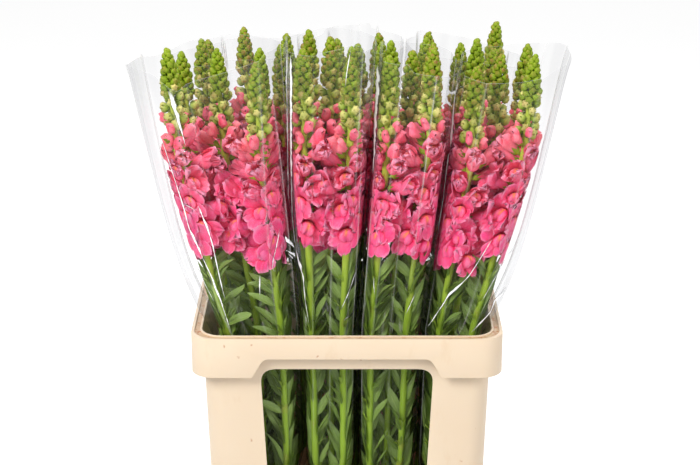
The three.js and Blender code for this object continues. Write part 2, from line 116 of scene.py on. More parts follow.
def skinPlan(bunch, z):  # the same down to the gathered foot of the sleeve
    x, y, halfX, halfY = filmPlan(bunch, np.maximum(z, layout["low"]))
    t = np.clip((z - layout["hem"]) / (layout["low"] - layout["hem"]), 0, 1)
    gathered = [*bundleFoot(bunch), layout["gather"], layout["gather"]]
    return [mix(low, high, t) for low, high in zip(gathered, (x, y, halfX, halfY))]


def filmReach(u, v):  # 1 on the film's rounded oblong outline, less inside it
    corner = pressing["filmCorner"]
    return (np.abs(u) ** corner + np.abs(v) ** corner) ** (1 / corner)


def layStems(bunch):
    stems = []
    for index, (across, along) in enumerate(layout["places"]):
        jitter = 0 if index == layout["middlePlace"] else layout["placeJitter"]
        across += between(-jitter, jitter) if jitter else 0
        along += between(-jitter, jitter) if jitter else 0
        stems.append({"bunch": bunch, "index": index, "across": across, "along": along,
                      "tip": bunch["tips"] + between(0, layout["tipSpread"]),
                      "turn": between(0, 2 * math.pi)})
    return stems


def stemPlace(stem, z):  # x and y of the middle of a stem at each height
    z = np.asarray(z, float)
    bunch, across, along = stem["bunch"], stem["across"], stem["along"]
    start = stem["tip"] - layout["budLength"] + layout["spikeStart"]
    upright = np.maximum(0, z - start) * (1 - layout["spikeFan"])
    x, y, halfX, halfY = filmPlan(bunch, np.maximum(z, layout["low"]) - upright)
    fanned = np.stack([x + across * halfX, y + along * halfY], -1)
    middle = bundleFoot(bunch)
    reach = math.hypot(across, along)
    share = 0 if stem["index"] == layout["middlePlace"] else 1 / reach
    away = np.array([across, along]) * share
    bound, foot = middle + away * layout["bundleRadius"], middle + away * layout["footSpread"]
    t = ((z - layout["band"]) / (layout["low"] - layout["band"]))[..., None]
    under = ((z - layout["foot"]) / (layout["band"] - layout["foot"]))[..., None]
    lower = np.where((z < layout["band"])[..., None], mix(foot, bound, under), mix(bound, fanned, t))
    return np.where((z < layout["low"])[..., None], lower, fanned)


def eased(length, limit, start):  # lengths near the limit are squeezed together, none passes it
    origin = limit * start
    span = np.maximum(limit - origin, 1e-6)
    over = np.maximum(length - origin, 0)
    return np.where(length <= origin, length, origin + span * (1 - np.exp(-over / span)))


# how plants are pressed in by the film, and into the cells between neighbouring stems
pressing = {"filmCorner": 3.2, "filmEase": 0.9, "cellOverlap": 9, "cellEase": 0.7}


def keptIn(stem, points, overlap=None):  # clear of the film, and mostly clear of the stems beside this one
    overlap = pressing["cellOverlap"] if overlap is None else overlap
    z = points[:, 2]
    own = stemPlace(stem, z)
    plane = points[:, :2].copy()
    for other in stem["others"]:
        gap = stemPlace(other, z) - own
        apart = np.linalg.norm(gap, axis=1)
        along = gap / apart[:, None]
        reach = ((plane - own) * along).sum(1)
        back = reach - eased(reach, apart / 2 + overlap, pressing["cellEase"])
        plane -= back[:, None] * along
    x, y, halfX, halfY = skinPlan(stem["bunch"], z)
    u, v = (plane[:, 0] - x) / halfX, (plane[:, 1] - y) / halfY
    out = filmReach(u, v)
    scale = eased(out, stem["bunch"]["fill"], pressing["filmEase"]) / np.maximum(out, 1e-6)
    return np.stack([x + u * scale * halfX, y + v * scale * halfY, z], -1)


# patches of mesh, and the pieces that they are gathered in
def gridFaces(rows, columns, wrap=False):  # quads over rows x columns points
    across = columns if wrap else columns - 1
    row, column = np.meshgrid(np.arange(rows - 1), np.arange(across), indexing="ij")
    a = row * columns + column
    b = row * columns + (column + 1) % columns
    return np.stack([a, b, b + columns, a + columns], -1).reshape(-1, 4)


class Piece:  # gathers patches, each with a tone (4 numbers a point) and a place on its petal or leaf
    def __init__(self, name):
        self.name = name
        self.points, self.tones, self.places, self.faces, self.slots = [], [], [], [], []
        self.count = 0

    def add(self, points, faces, tone, place=None, slot=0):
        points = np.asarray(points, float)
        tone = np.broadcast_to(np.asarray(tone, float), (len(points), 4))
        place = np.zeros((len(points), 3)) if place is None else place
        self.points.append(points)
        self.tones.append(tone)
        self.places.append(place)
        for face in faces:
            self.faces.extend((np.asarray(face) + self.count).tolist())
            self.slots.extend([slot] * len(face))
        self.count += len(points)

    def build(self, materials):
        mesh = bpy.data.meshes.new(self.name)
        points = np.concatenate(self.points) * 0.001
        mesh.from_pydata(points.tolist(), [], self.faces)
        mesh.polygons.foreach_set("material_index", self.slots)
        mesh.polygons.foreach_set("use_smooth", [True] * len(self.faces))
        tone = mesh.attributes.new("tone", "FLOAT_COLOR", "POINT")
        tone.data.foreach_set("color", np.concatenate(self.tones).astype(np.float32).ravel())
        place = mesh.attributes.new("place", "FLOAT_VECTOR", "POINT")
        place.data.foreach_set("vector", np.concatenate(self.places).astype(np.float32).ravel())
        for material in materials:
            mesh.materials.append(material)
        mesh.update()
        made = bpy.data.objects.new(self.name, mesh)
        bpy.context.scene.collection.objects.link(made)
        return made


def rowsOf(*values):  # a row of numbers for each point of a patch
    return np.stack(np.broadcast_arrays(*values), -1).reshape(-1, len(values))


def settle(piece, slot, *nodes):  # a finished piece rides on the one body and stands for its solids
    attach(piece, "root")
    if nodes:
        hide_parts(*nodes)
    return piece


def turned(points, roll, rise, azimuth):  # from a part's own axes (x out, y across, z up) to the stem's
    turn = Matrix.Rotation(azimuth, 3, "Z") @ Matrix.Rotation(-rise, 3, "Y") @ Matrix.Rotation(roll, 3, "X")
    return points @ np.array(turn).T


def setOn(stem, points, height, radius, azimuth, rise, roll=0, size=1, overlap=None):
    placed = turned(points * size, roll, rise, azimuth)  # set on its stem, then pressed in
    placed[:, 0] += radius * math.cos(azimuth)
    placed[:, 1] += radius * math.sin(azimuth)
    placed[:, 2] += height
    placed[:, :2] += stemPlace(stem, placed[:, 2])
    return keptIn(stem, placed, overlap)


def roundPatch(profile, sides, ridge=0):  # rings round x from (x, radius)
    angle = np.arange(sides) / sides * 2 * math.pi
    wave = 1 + ridge * np.where(np.arange(sides) % 2, 1, -1)
    along, radius = np.array(profile, float).T[..., None]
    points = rowsOf(along, np.cos(angle) * radius * wave, np.sin(angle) * radius * wave)
    return points, gridFaces(len(profile), sides, wrap=True)


# florets
floret = {
    "tube": [(0, 2.6), (4, 4.8), (12, 6.0), (21, 7.8)], "tubeSides": 8, "tubeTall": 1.08,
    "upper": {"at": (17, 5.0), "aside": 36, "from": 20, "to": 112, "long": 22, "root": 7.0, "wide": 12.4},
    "lower": {"at": (19, 5.0), "aside": 122, "from": 14, "to": 112, "long": 19, "root": 5.2, "wide": 9.4},
    "lip": {"at": (20, 6.0), "aside": 180, "from": 4, "to": 102, "long": 19, "root": 5.0, "wide": 8.0},
    "palate": {"middle": 20.5, "drop": -2.2, "long": 10.2, "wide": 8.6, "tall": 8.2, "groove": 0.5,
               "cheek": 0.16, "lean": 0.28,
               "around": (0, 0.2, 0.55, 1.0, 1.6, 2.6, math.pi, -2.6, -1.6, -1.0, -0.55, -0.2)},
    "blade": {"rows": 5, "columns": 8, "widest": 0.55, "round": 0.47, "narrow": 0.06, "cup": 0.34,
              "waves": 2.6, "twist": 1.6, "notch": 1.4, "ruffle": 3.3},
    "swing": 0.12,  # how much one lobe differs from the next
    "kinds": 12, "perStem": 19, "size": (1.34, 0.98), "rise": (-0.12, 0.6), "fresh": (1.05, 0.35),
    "lowest": 44, "highest": 6, "uneven": 15,
}
closedFloret = {
    "kinds": 4, "perStem": 9, "size": (1.1, 0.66), "rise": (0.45, 0.85), "below": 4, "above": 100,
    "rows": 8, "sides": 10, "long": 26,
    "outline": ((0, 0.12, 0.35, 0.6, 0.82, 0.95, 1), (2.4, 4.4, 5.8, 7.6, 8.4, 5.6, 0.8)),
    "fold": 0.17, "seam": 0.3, "cheek": 0.22, "laps": (2.6, -2.2), "lift": 2.5, "tall": 1.1,
}


def lobe(shape, side, openness, phase, ruffle):  # a rounded blade that curls back from the mouth
    blade = floret["blade"]
    v = np.linspace(0, 1, blade["rows"] + 1)[:, None]
    u = np.linspace(-1, 1, blade["columns"] + 1)[None]
    shut = shape["from"] * 0.3 - 25
    start, end = math.radians(shape["from"]), math.radians(mix(shut, shape["to"], openness))
    angle = mix(start, end, v ** 0.85)
    step = shape["long"] / blade["rows"]
    out = np.concatenate([[[0]], np.cumsum(np.cos(angle[1:]) * step, 0)])
    away = np.concatenate([[[0]], np.cumsum(np.sin(angle[1:]) * step, 0)])
    wide, widest = shape["wide"], blade["widest"]
    width = np.where(v < widest, mix(shape["root"], wide, smooth(v / widest)),
                     wide * np.sqrt(np.clip(1 - ((v - widest) / blade["round"]) ** 2, 0.02, 1)))
    aside = math.radians(shape["aside"]) * side
    forward = np.array([1, 0, 0])
    radial = np.array([0, math.sin(aside), math.cos(aside)])
    across = np.array([0, math.cos(aside), -math.sin(aside)])
    spine = shape["at"][0] * forward + shape["at"][1] * radial + out * forward + away * radial
    normal = -np.sin(angle) * forward + np.cos(angle) * radial
    along = np.cos(angle) * forward + np.sin(angle) * radial
    wave = np.sin(phase + blade["waves"] * math.pi * u + 1.2 * v) * ruffle * v ** 1.8
    wave = wave + np.sin(2 * phase + 1.3 * u) * blade["twist"] * v
    cup = u ** 2 * width * blade["cup"] * (1 - 1.1 * v)
    notch = (1 - np.abs(u)) * blade["notch"] * (v > 0.99) * math.cos(phase)
    grid = spine[:, None] + (u * width * (1 - blade["narrow"] * v))[..., None] * across
    grid = grid + (wave - cup)[..., None] * normal[:, None] - notch[..., None] * along[:, None]
    rim = np.maximum(v ** 4, 0.8 * np.abs(u) ** 6 * smooth(v / 0.4))
    # painted shade: the lobe darkens towards the throat, with a little variation across it
    shade = 0.34 + 0.5 * v + 0.16 * np.cos(3 * u + phase)
    faces = gridFaces(blade["rows"] + 1, blade["columns"] + 1)
    return grid.reshape(-1, 3), faces, rowsOf(0.0, rim, 0.0, shade), rowsOf(u, v, 0.0)


def floretTube():
    points, faces = roundPatch(floret["tube"], floret["tubeSides"])
    points[:, 2] *= floret["tubeTall"]
    x, y, z = points.T
    # the last tone is painted shade, darker deep in the tube
    tone = rowsOf(0.0, 0.0, 0.0, 0.25 + np.clip(x / 30, 0, 1))
    return points, faces, tone, rowsOf(np.arctan2(y, z) / math.pi, x / 40, 0.0)


def floretPalate():  # the swollen, grooved throat with its yellow middle
    palate = floret["palate"]
    lift = np.linspace(-0.5, 0.5, 7)[:, None] * math.pi
    turn = np.array(palate["around"])[None]
    x = palate["long"] * np.cos(lift) * np.cos(turn)
    y = palate["wide"] * np.cos(lift) * np.sin(turn)
    z = palate["tall"] * np.sin(lift) + 0 * x
    groove = 1 - palate["groove"] * np.exp(-(y / 1.5) ** 2) * (x > 0)
    cheeks = 1 + palate["cheek"] * np.exp(-((np.abs(y) - 4.6) / 2.6) ** 2)
    x = x * groove * cheeks + palate["middle"] + palate["lean"] * z  # leans forward to meet the upper lip
    z = z + palate["drop"]
    yellow = 0.85 * np.exp(-(y / 1.4) ** 2) * smooth((x - 21) / 3) * smooth((z + 2.5) / 4)
    pale = smooth((x - 20) / 8) * (1 - np.exp(-(y / 2.2) ** 2))
    # the last tone is painted shade, darker towards the back of the throat
    tone = rowsOf(0.0, 0.62 * pale, yellow, mix(0.25, 0.8, smooth((x - 18) / 8)))
    return rowsOf(x, y, z), gridFaces(*x.shape, wrap=True), tone, rowsOf(y / 18, z / 18, 0.0)


def floretKind(openness, style):  # a tube, five lobes and the palate between them
    parts = [floretTube()]
    swing = style.uniform(-floret["swing"], floret["swing"], 5)
    lobes = [("upper", 1), ("upper", -1), ("lower", 1), ("lower", -1), ("lip", 1)]
    for index, (key, side) in enumerate(lobes):
        shape = dict(floret[key])
        shape["aside"] = shape["aside"] * (1 + 0.5 * swing[index])
        shape["long"] = shape["long"] * (1 + swing[index])
        shape["wide"] = shape["wide"] * (1 + 0.8 * swing[(index + 2) % 5])
        ruffle = floret["blade"]["ruffle"] * style.uniform(0.6, 1.3)
        phase = style.uniform(0, 6.28)
        parts.append(lobe(shape, side, np.clip(openness + swing[index], 0, 1.1), phase, ruffle))
    parts.append(floretPalate())
    return parts


def closedKind(style):  # a plump folded bud whose upper lip wraps over the lower one
    shape = closedFloret
    t = np.linspace(0, 1, shape["rows"])[:, None]
    angle = np.arange(shape["sides"])[None] / shape["sides"] * 2 * math.pi
    radius = np.interp(t, *shape["outline"])
    fold = 1 + shape["fold"] * np.sin(angle * 2 + 2.6 * t + style.uniform(0, 6)) * smooth(t * 2)
    seam = np.exp(-(np.cos(angle / 2 - 0.4) / 0.3) ** 2)
    cheek = np.exp(-((np.sin(angle) + 0.1) / 0.16) ** 2)
    shut = smooth((t - 0.4) / 0.3)
    dent = 1 - (shape["seam"] * seam + shape["cheek"] * cheek) * shut
    lap = np.where(np.sin(angle) > 0.2, *shape["laps"])  # the upper lip is the longer
    x = shape["long"] * t + lap * smooth((t - 0.45) / 0.4)
    y = radius * np.cos(angle) * fold * dent
    z = radius * np.sin(angle) * fold * shape["tall"] + shape["lift"] * t ** 2
    rim = 0.55 * smooth((t - 0.7) / 0.3) + 0.8 * smooth(1 - t / 0.5)
    # painted shade in the seam and the cheek folds of the shut lips
    shade = 0.85 - 0.7 * np.clip(seam + cheek, 0, 1) * shut
    faces = gridFaces(shape["rows"], shape["sides"], wrap=True)
    return [(rowsOf(x, y, z), faces, rowsOf(0.0, rim, 0.0, shade), rowsOf(angle / math.pi - 1, t, 0.0))]


# a floret has the room between its stem and the film, or the next stem's florets
room = {"reach": np.arange(8, 74, 1.5), "slack": 0.045, "overlap": 16,
        "root": 2.5, "stalk": 6.5, "mouth": 17, "shortest": 0.15, "open": 32, "closed": 29, "press": 24}


def roomOut(stem, height, azimuth, rise, overlap=room["overlap"]):
    reach = room["reach"]
    z = height + reach * math.sin(rise)
    own = stemPlace(stem, z)
    way = np.array([math.cos(azimuth), math.sin(azimuth)]) * math.cos(rise)
    plane = own + reach[:, None] * way
    x, y, halfX, halfY = skinPlan(stem["bunch"], z)
    out = filmReach((plane[:, 0] - x) / halfX, (plane[:, 1] - y) / halfY)
    blocked = out > stem["bunch"]["fill"] - room["slack"]
    for other in stem["others"]:
        gap = stemPlace(other, z) - own
        apart = np.linalg.norm(gap, axis=1)
        blocked |= ((plane - own) * gap).sum(1) / apart > apart / 2 + overlap
    return float(reach[np.argmax(blocked)]) if blocked.any() else float(reach[-1])


def addFloret(piece, stem, kind, height, azimuth, rise, size, fresh, roll, full):
    mouth, stalk = room["mouth"], room["stalk"]
    spare = (room["root"] + (stalk + full) * size - roomOut(stem, height, azimuth, rise)) / size
    shift = min(max(spare, 0), mouth * (1 - room["shortest"]))  # a short tube, so the mouth keeps its form
    for points, faces, tone, place in kind:
        toned, own, moved = tone.copy(), place.copy(), points.copy()
        toned[:, 0] = fresh
        own[:, 2] = azimuth + height
        x = points[:, 0]
        moved[:, 0] = np.where(x < mouth, x * (1 - shift / mouth), x - shift)
        moved[:, 0] += stalk * (1 - shift / mouth / 1.2)
        placed = setOn(stem, moved, height, room["root"], azimuth, rise, roll, size, room["press"])
        piece.add(placed, [faces], toned, own)


# green parts: stems, leaves, side shoots, calyxes and buds
green = {
    "stem": {"radius": 4.6, "taper": 2.3, "sides": 10, "step": 18, "ridge": 0.05, "blunt": 6},
    "leaf": {"long": (48, 68), "wide": (17, 24), "rows": 6, "shortRows": 3, "short": 30, "root": 3.4,
             "perStem": 34, "extra": 12, "low": 176, "belowFlorets": -6, "crowd": (424, 512, 8),
             "steepest": 1.38},
    "shoot": {"leaves": 5, "long": (16, 29), "wide": (5, 7.5), "every": 3, "fan": 0.42},
    "bract": {"long": (14, 24), "wide": (4, 6)},
    "calyx": {"profile": [(0, 1.5), (4.0, 1.8), (7.5, 4.9)], "sides": 10, "sepal": 8.0, "flare": 1.12},
    "bud": {"profile": [(0, 0.5), (0.24, 1.0), (0.6, 1.08), (0.9, 0.74), (1.06, 0.1)], "sides": 10,
            "ridge": 0.21, "bend": 0.16, "press": 12},
    "spike": {"tall": 58, "drop": 7, "small": 5.4, "large": 9.4, "plump": 0.46, "count": 38},
    "loose": {"from": 48, "to": 108, "count": 16, "long": (9, 13.5), "plump": 0.45, "root": 5.0},
}


def leafPatch(long, wide, arch, fold, wave, rows):  # lance-shaped, folded along its midrib
    v = np.linspace(0, 1, rows + 1)[:, None]
    u = np.array([[-1, -0.5, 0, 0.5, 1]])
    angle = -arch * v ** 1.4
    step = long / rows
    out = np.concatenate([[[0]], np.cumsum(np.cos(angle[:-1]) * step, 0)])
    up = np.concatenate([[[0]], np.cumsum(np.sin(angle[:-1]) * step, 0)])
    half = wide / 2 * np.maximum(2.3 * (v + 0.02) ** 0.8 * (1 - v) ** 1.25, 0.02)
    lift = fold * np.abs(u) ** 1.3 * half + wave * np.sin(9 * v + 2 * u) * u ** 2
    points = rowsOf(out - np.sin(angle) * lift, u * half * (1 - 0.12 * fold), up + np.cos(angle) * lift)
    return points, gridFaces(rows + 1, u.size), rowsOf(u, v, 0.0)


def addLeaf(piece, stem, height, azimuth, long, wide, rise, arch, young, roll=None):
    shape = green["leaf"]
    space = roomOut(stem, height + 10, azimuth, 0.5, 6)
    while long * math.cos(rise - 0.45 * arch) > space and rise < shape["steepest"]:
        rise, arch = rise + 0.08, arch * 0.86
    rows = shape["rows"] if long > shape["short"] else shape["shortRows"]
    points, faces, place = leafPatch(long, wide, arch, vary(0.2, 0.5), vary(0.3, 1.0), rows)
    place[:, 2] = height + 10 * azimuth
    roll = vary(-0.35, 0.35) if roll is None else roll
    placed = setOn(stem, points, height, shape["root"], azimuth, rise, roll, 1, 4)
    piece.add(placed, [faces], (young, vary(0, 1), 0, 1), place, 1)


def addStem(piece, stem):
    shape = green["stem"]
    top = stem["tip"] - shape["blunt"]
    heights = np.append(np.arange(layout["foot"], top, shape["step"]), top)
    angle = stem["turn"] + np.arange(shape["sides"]) / shape["sides"] * 2 * math.pi
    middle = stemPlace(stem, heights)
    thin = smooth((heights - (stem["tip"] - layout["budLength"])) / layout["budLength"])
    wave = 1 + shape["ridge"] * np.cos(5 * angle)[None] + 0.03 * np.sin(heights / 17)[:, None]
    ring = mix(shape["radius"], shape["taper"], thin)[:, None] * wave
    x, y = middle[:, 0, None] + ring * np.cos(angle), middle[:, 1, None] + ring * np.sin(angle)
    z = heights[:, None]
    faces = gridFaces(len(heights), shape["sides"], wrap=True)
    foot = list(range(shape["sides"]))[::-1]
    tone = rowsOf(smooth((z - 420) / 300), 0.5, 0.0 * x, 1.0)
    piece.add(rowsOf(x, y, z), [faces, [foot]], tone, rowsOf(angle / math.pi, z / 60, 0.0))


def addCalyx(piece, stem, height, azimuth, rise, roll, size, tinge, radius=2.5):
    shape = green["calyx"]
    sides = shape["sides"]
    points, faces = roundPatch(shape["profile"], sides)
    sepals = points[-sides:].copy()
    sepals[::2] += np.array([shape["sepal"], 0, 0])
    sepals[::2, 1:] *= shape["flare"]
    sepals[1::2] += np.array([1.2, 0, 0])
    points = np.concatenate([points, sepals])
    faces = gridFaces(len(shape["profile"]) + 1, sides, wrap=True)
    x, y, _ = points.T
    tone, place = rowsOf(0.0, np.clip(x / 15, 0, 1), tinge, 0.4), rowsOf(y / 8, x / 15, height)
    piece.add(setOn(stem, points, height, radius, azimuth, rise, roll, size), [faces], tone, place, 2)


def addBud(piece, stem, height, azimuth, rise, long, plump, radius, tinge, cream):
    shape = green["bud"]  # a bud wrapped in its five ridged sepals
    profile = [(x * long, r * plump) for x, r in shape["profile"]]
    points, faces = roundPatch(profile, shape["sides"], shape["ridge"])
    along = points[:, 0] / long
    points[:, 2] += shape["bend"] * long * along ** 2
    ridge = np.tile([1.0, 0.0], len(along) // 2)
    tone = rowsOf(cream * smooth((along - 0.45) / 0.3), along, tinge, ridge)
    place = rowsOf(points[:, 1] / 6, along, height)
    placed = setOn(stem, points, height, radius, azimuth, rise, vary(0, 1), 1, shape["press"])
    piece.add(placed, [faces], tone, place, 2)


def growSpike(piece, stem):  # small buds, packed round the top of the stem
    shape = green["spike"]
    for count in range(shape["count"]):
        t = (count + 0.5) / shape["count"]  # 0 at the foot of the spike
        grow = 1 - t ** 2.2
        height = stem["tip"] - shape["tall"] + shape["tall"] * (t ** 0.95) - shape["drop"]
        long = mix(shape["small"], shape["large"], grow) * vary(0.9, 1.12)
        azimuth = stem["turn"] + goldenAngle * count + vary(-0.15, 0.15)
        rise = mix(0.3, 1.35, t ** 3) + vary(-0.2, 0.2)
        tinge, radius = vary(0.45, 1.15) * stem["brown"], mix(0.4, 4.4, grow ** 0.7)
        addBud(piece, stem, height, azimuth, rise, long, long * shape["plump"], radius, tinge, 0)


def growLooseBuds(piece, stem):  # below the spike the buds stand apart, larger and creamy at the tip
    shape = green["loose"]
    for count in range(shape["count"]):
        t = (count + 0.5) / shape["count"]
        height = stem["tip"] - mix(shape["from"], shape["to"], t) + vary(-2, 2)
        long = mix(*shape["long"], t) * vary(0.9, 1.12)
        azimuth = stem["turn"] + 1.1 + goldenAngle * count
        rise, tinge, cream = vary(0.35, 0.75), vary(0.1, 0.7), vary(0.4, 0.95)
        addBud(piece, stem, height, azimuth, rise, long, long * shape["plump"], shape["root"], tinge, cream)
        addCalyx(piece, stem, height, azimuth, rise, vary(0, 1), long / shape["long"][1], vary(0.4, 1), 3.4)


def growLeaves(piece, stem):
    shape = green["leaf"]
    top = stem["tip"] - layout["racemeLength"] - shape["belowFlorets"]
    behind = stem["bunch"]["atRim"][1] > 0  # the bunches at the back carry more leaves, mostly high up
    number = shape["perStem"] + (shape["extra"] if behind else 0)
    heights = mix(shape["low"], top, ((np.arange(number) + 0.5) / number) ** (1.25 if behind else 1))
    heights = np.concatenate([heights, np.linspace(*shape["crowd"])])
    facing = -1 if behind else 1
    for count, height in enumerate(heights):
        t = np.clip((height - shape["low"]) / (top - shape["low"]), 0, 1)
        height = float(height) + vary(-4, 4)
        azimuth = stem["turn"] + goldenAngle * count + vary(-0.3, 0.3)
        if stem["along"] < 0.3 and math.sin(azimuth) < -0.55 and not behind:
            azimuth += math.copysign(vary(0.5, 1.0), math.cos(azimuth))  # leaves the stem itself in view
        long, wide = vary(*shape["long"]) * mix(1, 0.85, t), vary(*shape["wide"])
        rise, arch, young = vary(0.35, 0.95), vary(0.4, 1.4), 0.2 * vary(0, 1)
        roll = facing * math.cos(azimuth) * vary(0.3, 1.2)
        addLeaf(piece, stem, height, azimuth, long, wide, rise, arch, young, roll)
        if count % green["shoot"]["every"] == 1:
            growShoot(piece, stem, height + 3, azimuth + 0.2)


def growShoot(piece, stem, height, azimuth):  # a tuft of young leaves in the corner above a leaf
    shape = green["shoot"]
    for blade in range(shape["leaves"]):
        aside = (blade - 2) * shape["fan"] + vary(-0.2, 0.2)
        long, wide = vary(*shape["long"]), vary(*shape["wide"])
        rise, arch, young = vary(0.7, 1.2), vary(0.2, 0.9), vary(0.55, 1)
        addLeaf(piece, stem, height + 1.5 * blade, azimuth + aside, long, wide, rise, arch, young)


def growFlorets(flowers, greens, stem, kinds, closedKinds):
    shape, bract = floret, green["bract"]
    low = stem["tip"] - layout["racemeLength"] + shape["lowest"]
    low += shape["uneven"] * math.sin(3 * stem["turn"])  # some stems flower further down than others
    high = stem["tip"] - layout["budLength"] + shape["highest"]
    for count in range(shape["perStem"]):
        t = (count + 0.5) / shape["perStem"]
        height = mix(low, high, t) + vary(-2, 2)
        azimuth = stem["turn"] + goldenAngle * count + vary(-0.2, 0.2)
        rise = mix(*shape["rise"], t ** 1.3) + vary(-0.2, 0.2)
        size = mix(*shape["size"], t ** 1.4) * vary(0.92, 1.06)
        stage = int(np.clip(t * 1.15 * len(kinds) + vary(-1.6, 1.6), 0, len(kinds) - 1))
        fresh = np.clip(mix(*shape["fresh"], t ** 1.4) + vary(-0.2, 0.15), 0, 1)
        roll = vary(-0.4, 0.4)
        addFloret(flowers, stem, kinds[stage], height, azimuth, rise, size, fresh, roll, room["open"])
        addCalyx(greens, stem, height, azimuth, rise, roll, size, vary(0.2, 0.7))
        if count % 2:
            aside, long, wide = vary(-0.3, 0.3), vary(*bract["long"]), vary(*bract["wide"])
            rise, arch, young = vary(0.2, 0.8), vary(0.2, 0.8), vary(0.4, 0.9)
            addLeaf(greens, stem, height - 4, azimuth + aside, long, wide, rise, arch, young)
    shape = closedFloret
    for count in range(shape["perStem"]):
        t = (count + 0.5) / shape["perStem"]
        height = mix(high - shape["below"], stem["tip"] - shape["above"], t) + vary(-2, 2)
        azimuth = stem["turn"] + 0.8 + goldenAngle * count
        rise, roll = vary(*shape["rise"]), vary(-0.6, 0.6)
        size = mix(*shape["size"], t) * vary(0.9, 1.08)
        kind, fresh = closedKinds[count % len(closedKinds)], vary(0, 0.35)
        addFloret(flowers, stem, kind, height, azimuth, rise, size, fresh, roll, room["closed"])
        addCalyx(greens, stem, height, azimuth, rise, roll, size * 1.1, vary(0.4, 0.9))


# shader node groups that several materials share
def newGroup(name, inputs, outputs):
    group = bpy.data.node_groups.new(name, "ShaderNodeTree")
    for title, kind, default in inputs:
        socket = group.interface.new_socket(name=title, in_out="INPUT", socket_type=kind)
        if default is not None:
            socket.default_value = default
    for title, kind in outputs:
        group.interface.new_socket(name=title, in_out="OUTPUT", socket_type=kind)
    return group, group.nodes.new("NodeGroupInput"), group.nodes.new("NodeGroupOutput")


def feed(tree, value, socket):  # a value is another node's socket, a number or a colour
    if hasattr(value, "is_linked"):
        tree.links.new(value, socket)
    else:
        socket.default_value = (*value, 1) if socket.type == "RGBA" else value


def feedAll(tree, node, values):
    for title, value in values.items():
        feed(tree, value, node.inputs[title])


def mathNode(tree, operation, first, second=None, clamp=False):
    node = tree.nodes.new("ShaderNodeMath")
    node.operation, node.use_clamp = operation, clamp
    feed(tree, first, node.inputs[0])
    if second is not None:
        feed(tree, second, node.inputs[1])
    return node.outputs[0]


def times(tree, first, second):
    return mathNode(tree, "MULTIPLY", first, second)


def plus(tree, first, second):
    return mathNode(tree, "ADD", first, second)


def rangeNode(tree, value, low, high, outLow=0.0, outHigh=1.0):
    node = tree.nodes.new("ShaderNodeMapRange")
    feedAll(tree, node, {"Value": value, "From Min": low, "From Max": high,
                         "To Min": outLow, "To Max": outHigh})
    return node.outputs["Result"]


def noiseNode(tree, vector, scale, detail=2.0, roughness=0.5):
    node = tree.nodes.new("ShaderNodeTexNoise")
    feedAll(tree, node, {"Vector": vector, "Scale": scale, "Detail": detail, "Roughness": roughness})
    return node.outputs["Fac"]


def mixColour(tree, share, first, second):
    node = tree.nodes.new("ShaderNodeMix")
    node.data_type = "RGBA"
    for index, value in ((0, share), (6, first), (7, second)):
        feed(tree, value, node.inputs[index])
    return node.outputs[2]


def stretched(tree, vector, scale):
    node = tree.nodes.new("ShaderNodeMapping")
    feedAll(tree, node, {"Vector": vector, "Scale": scale})
    return node.outputs["Vector"]


def partsOf(tree, vector):
    split = tree.nodes.new("ShaderNodeSeparateXYZ")
    tree.links.new(vector, split.inputs[0])
    return split.outputs


def makeMottle():  # soft blotches of two sizes, as a mask from 0 to 1
    group, enter, leave = newGroup("soft mottle", [("Vector", "NodeSocketVector", None),
                                                   ("Scale", "NodeSocketFloat", 40.0)],
                                   [("Mask", "NodeSocketFloat"), ("Fine", "NodeSocketFloat")])
    broad = noiseNode(group, enter.outputs["Vector"], enter.outputs["Scale"], 3.0)
    fine = noiseNode(group, enter.outputs["Vector"], times(group, enter.outputs["Scale"], 7.0))
    group.links.new(rangeNode(group, broad, 0.32, 0.68), leave.inputs["Mask"])
    group.links.new(fine, leave.inputs["Fine"])
    return group


def makeVeins():  # veins that leave a midrib and bend towards the tip, as a mask and a height
    group, enter, leave = newGroup("blade veins", [("Place", "NodeSocketVector", None),
                                                   ("Count", "NodeSocketFloat", 9.0),
                                                   ("Slant", "NodeSocketFloat", 0.5)],
                                   [("Mask", "NodeSocketFloat"), ("Midrib", "NodeSocketFloat")])
    across, up, _ = partsOf(group, enter.outputs["Place"])
    side = mathNode(group, "ABSOLUTE", across)
    along = mathNode(group, "SUBTRACT", up, times(group, side, enter.outputs["Slant"]))
    wave = mathNode(group, "SINE", times(group, times(group, along, 6.283), enter.outputs["Count"]))
    group.links.new(rangeNode(group, wave, 0.55, 1.0), leave.inputs["Mask"])
    group.links.new(rangeNode(group, side, 0.16, 0.02), leave.inputs["Midrib"])
    return group


mottle = makeMottle()
veins = makeVeins()


def startMaterial(name):
    material = bpy.data.materials.new(name)
    material.use_nodes = True
    tree = material.node_tree
    return material, tree, tree.nodes["Principled BSDF"]


def useGroup(tree, group, **values):
    node = tree.nodes.new("ShaderNodeGroup")
    node.node_tree = group
    feedAll(tree, node, values)
    return node.outputs


def readTone(tree):  # what each piece's mesh stores: four tones and the place on a petal or leaf
    tone = tree.nodes.new("ShaderNodeAttribute")
    tone.attribute_name = "tone"
    split = tree.nodes.new("ShaderNodeSeparateColor")
    tree.links.new(tone.outputs["Color"], split.inputs[0])
    place = tree.nodes.new("ShaderNodeAttribute")
    place.attribute_name = "place"
    return [*split.outputs[:3], tone.outputs["Alpha"], place.outputs["Vector"]]


def spotOf(tree):
    return tree.nodes.new("ShaderNodeNewGeometry").outputs["Position"]


def washed(tree, body, *washes):  # each wash is a share and a colour laid over what is below
    for share, colour in washes:
        body = mixColour(tree, share, body, colour)
    return body


def mixShaders(tree, share, first, second):
    node = tree.nodes.new("ShaderNodeMixShader")
    for value, socket in zip((share, first, second), node.inputs):
        tree.links.new(value, socket)
    return node.outputs[0]


def bumped(tree, shader, height, strength, distance):
    bump = tree.nodes.new("ShaderNodeBump")
    feedAll(tree, bump, {"Height": height, "Strength": strength, "Distance": distance})
    tree.links.new(bump.outputs[0], shader.inputs["Normal"])


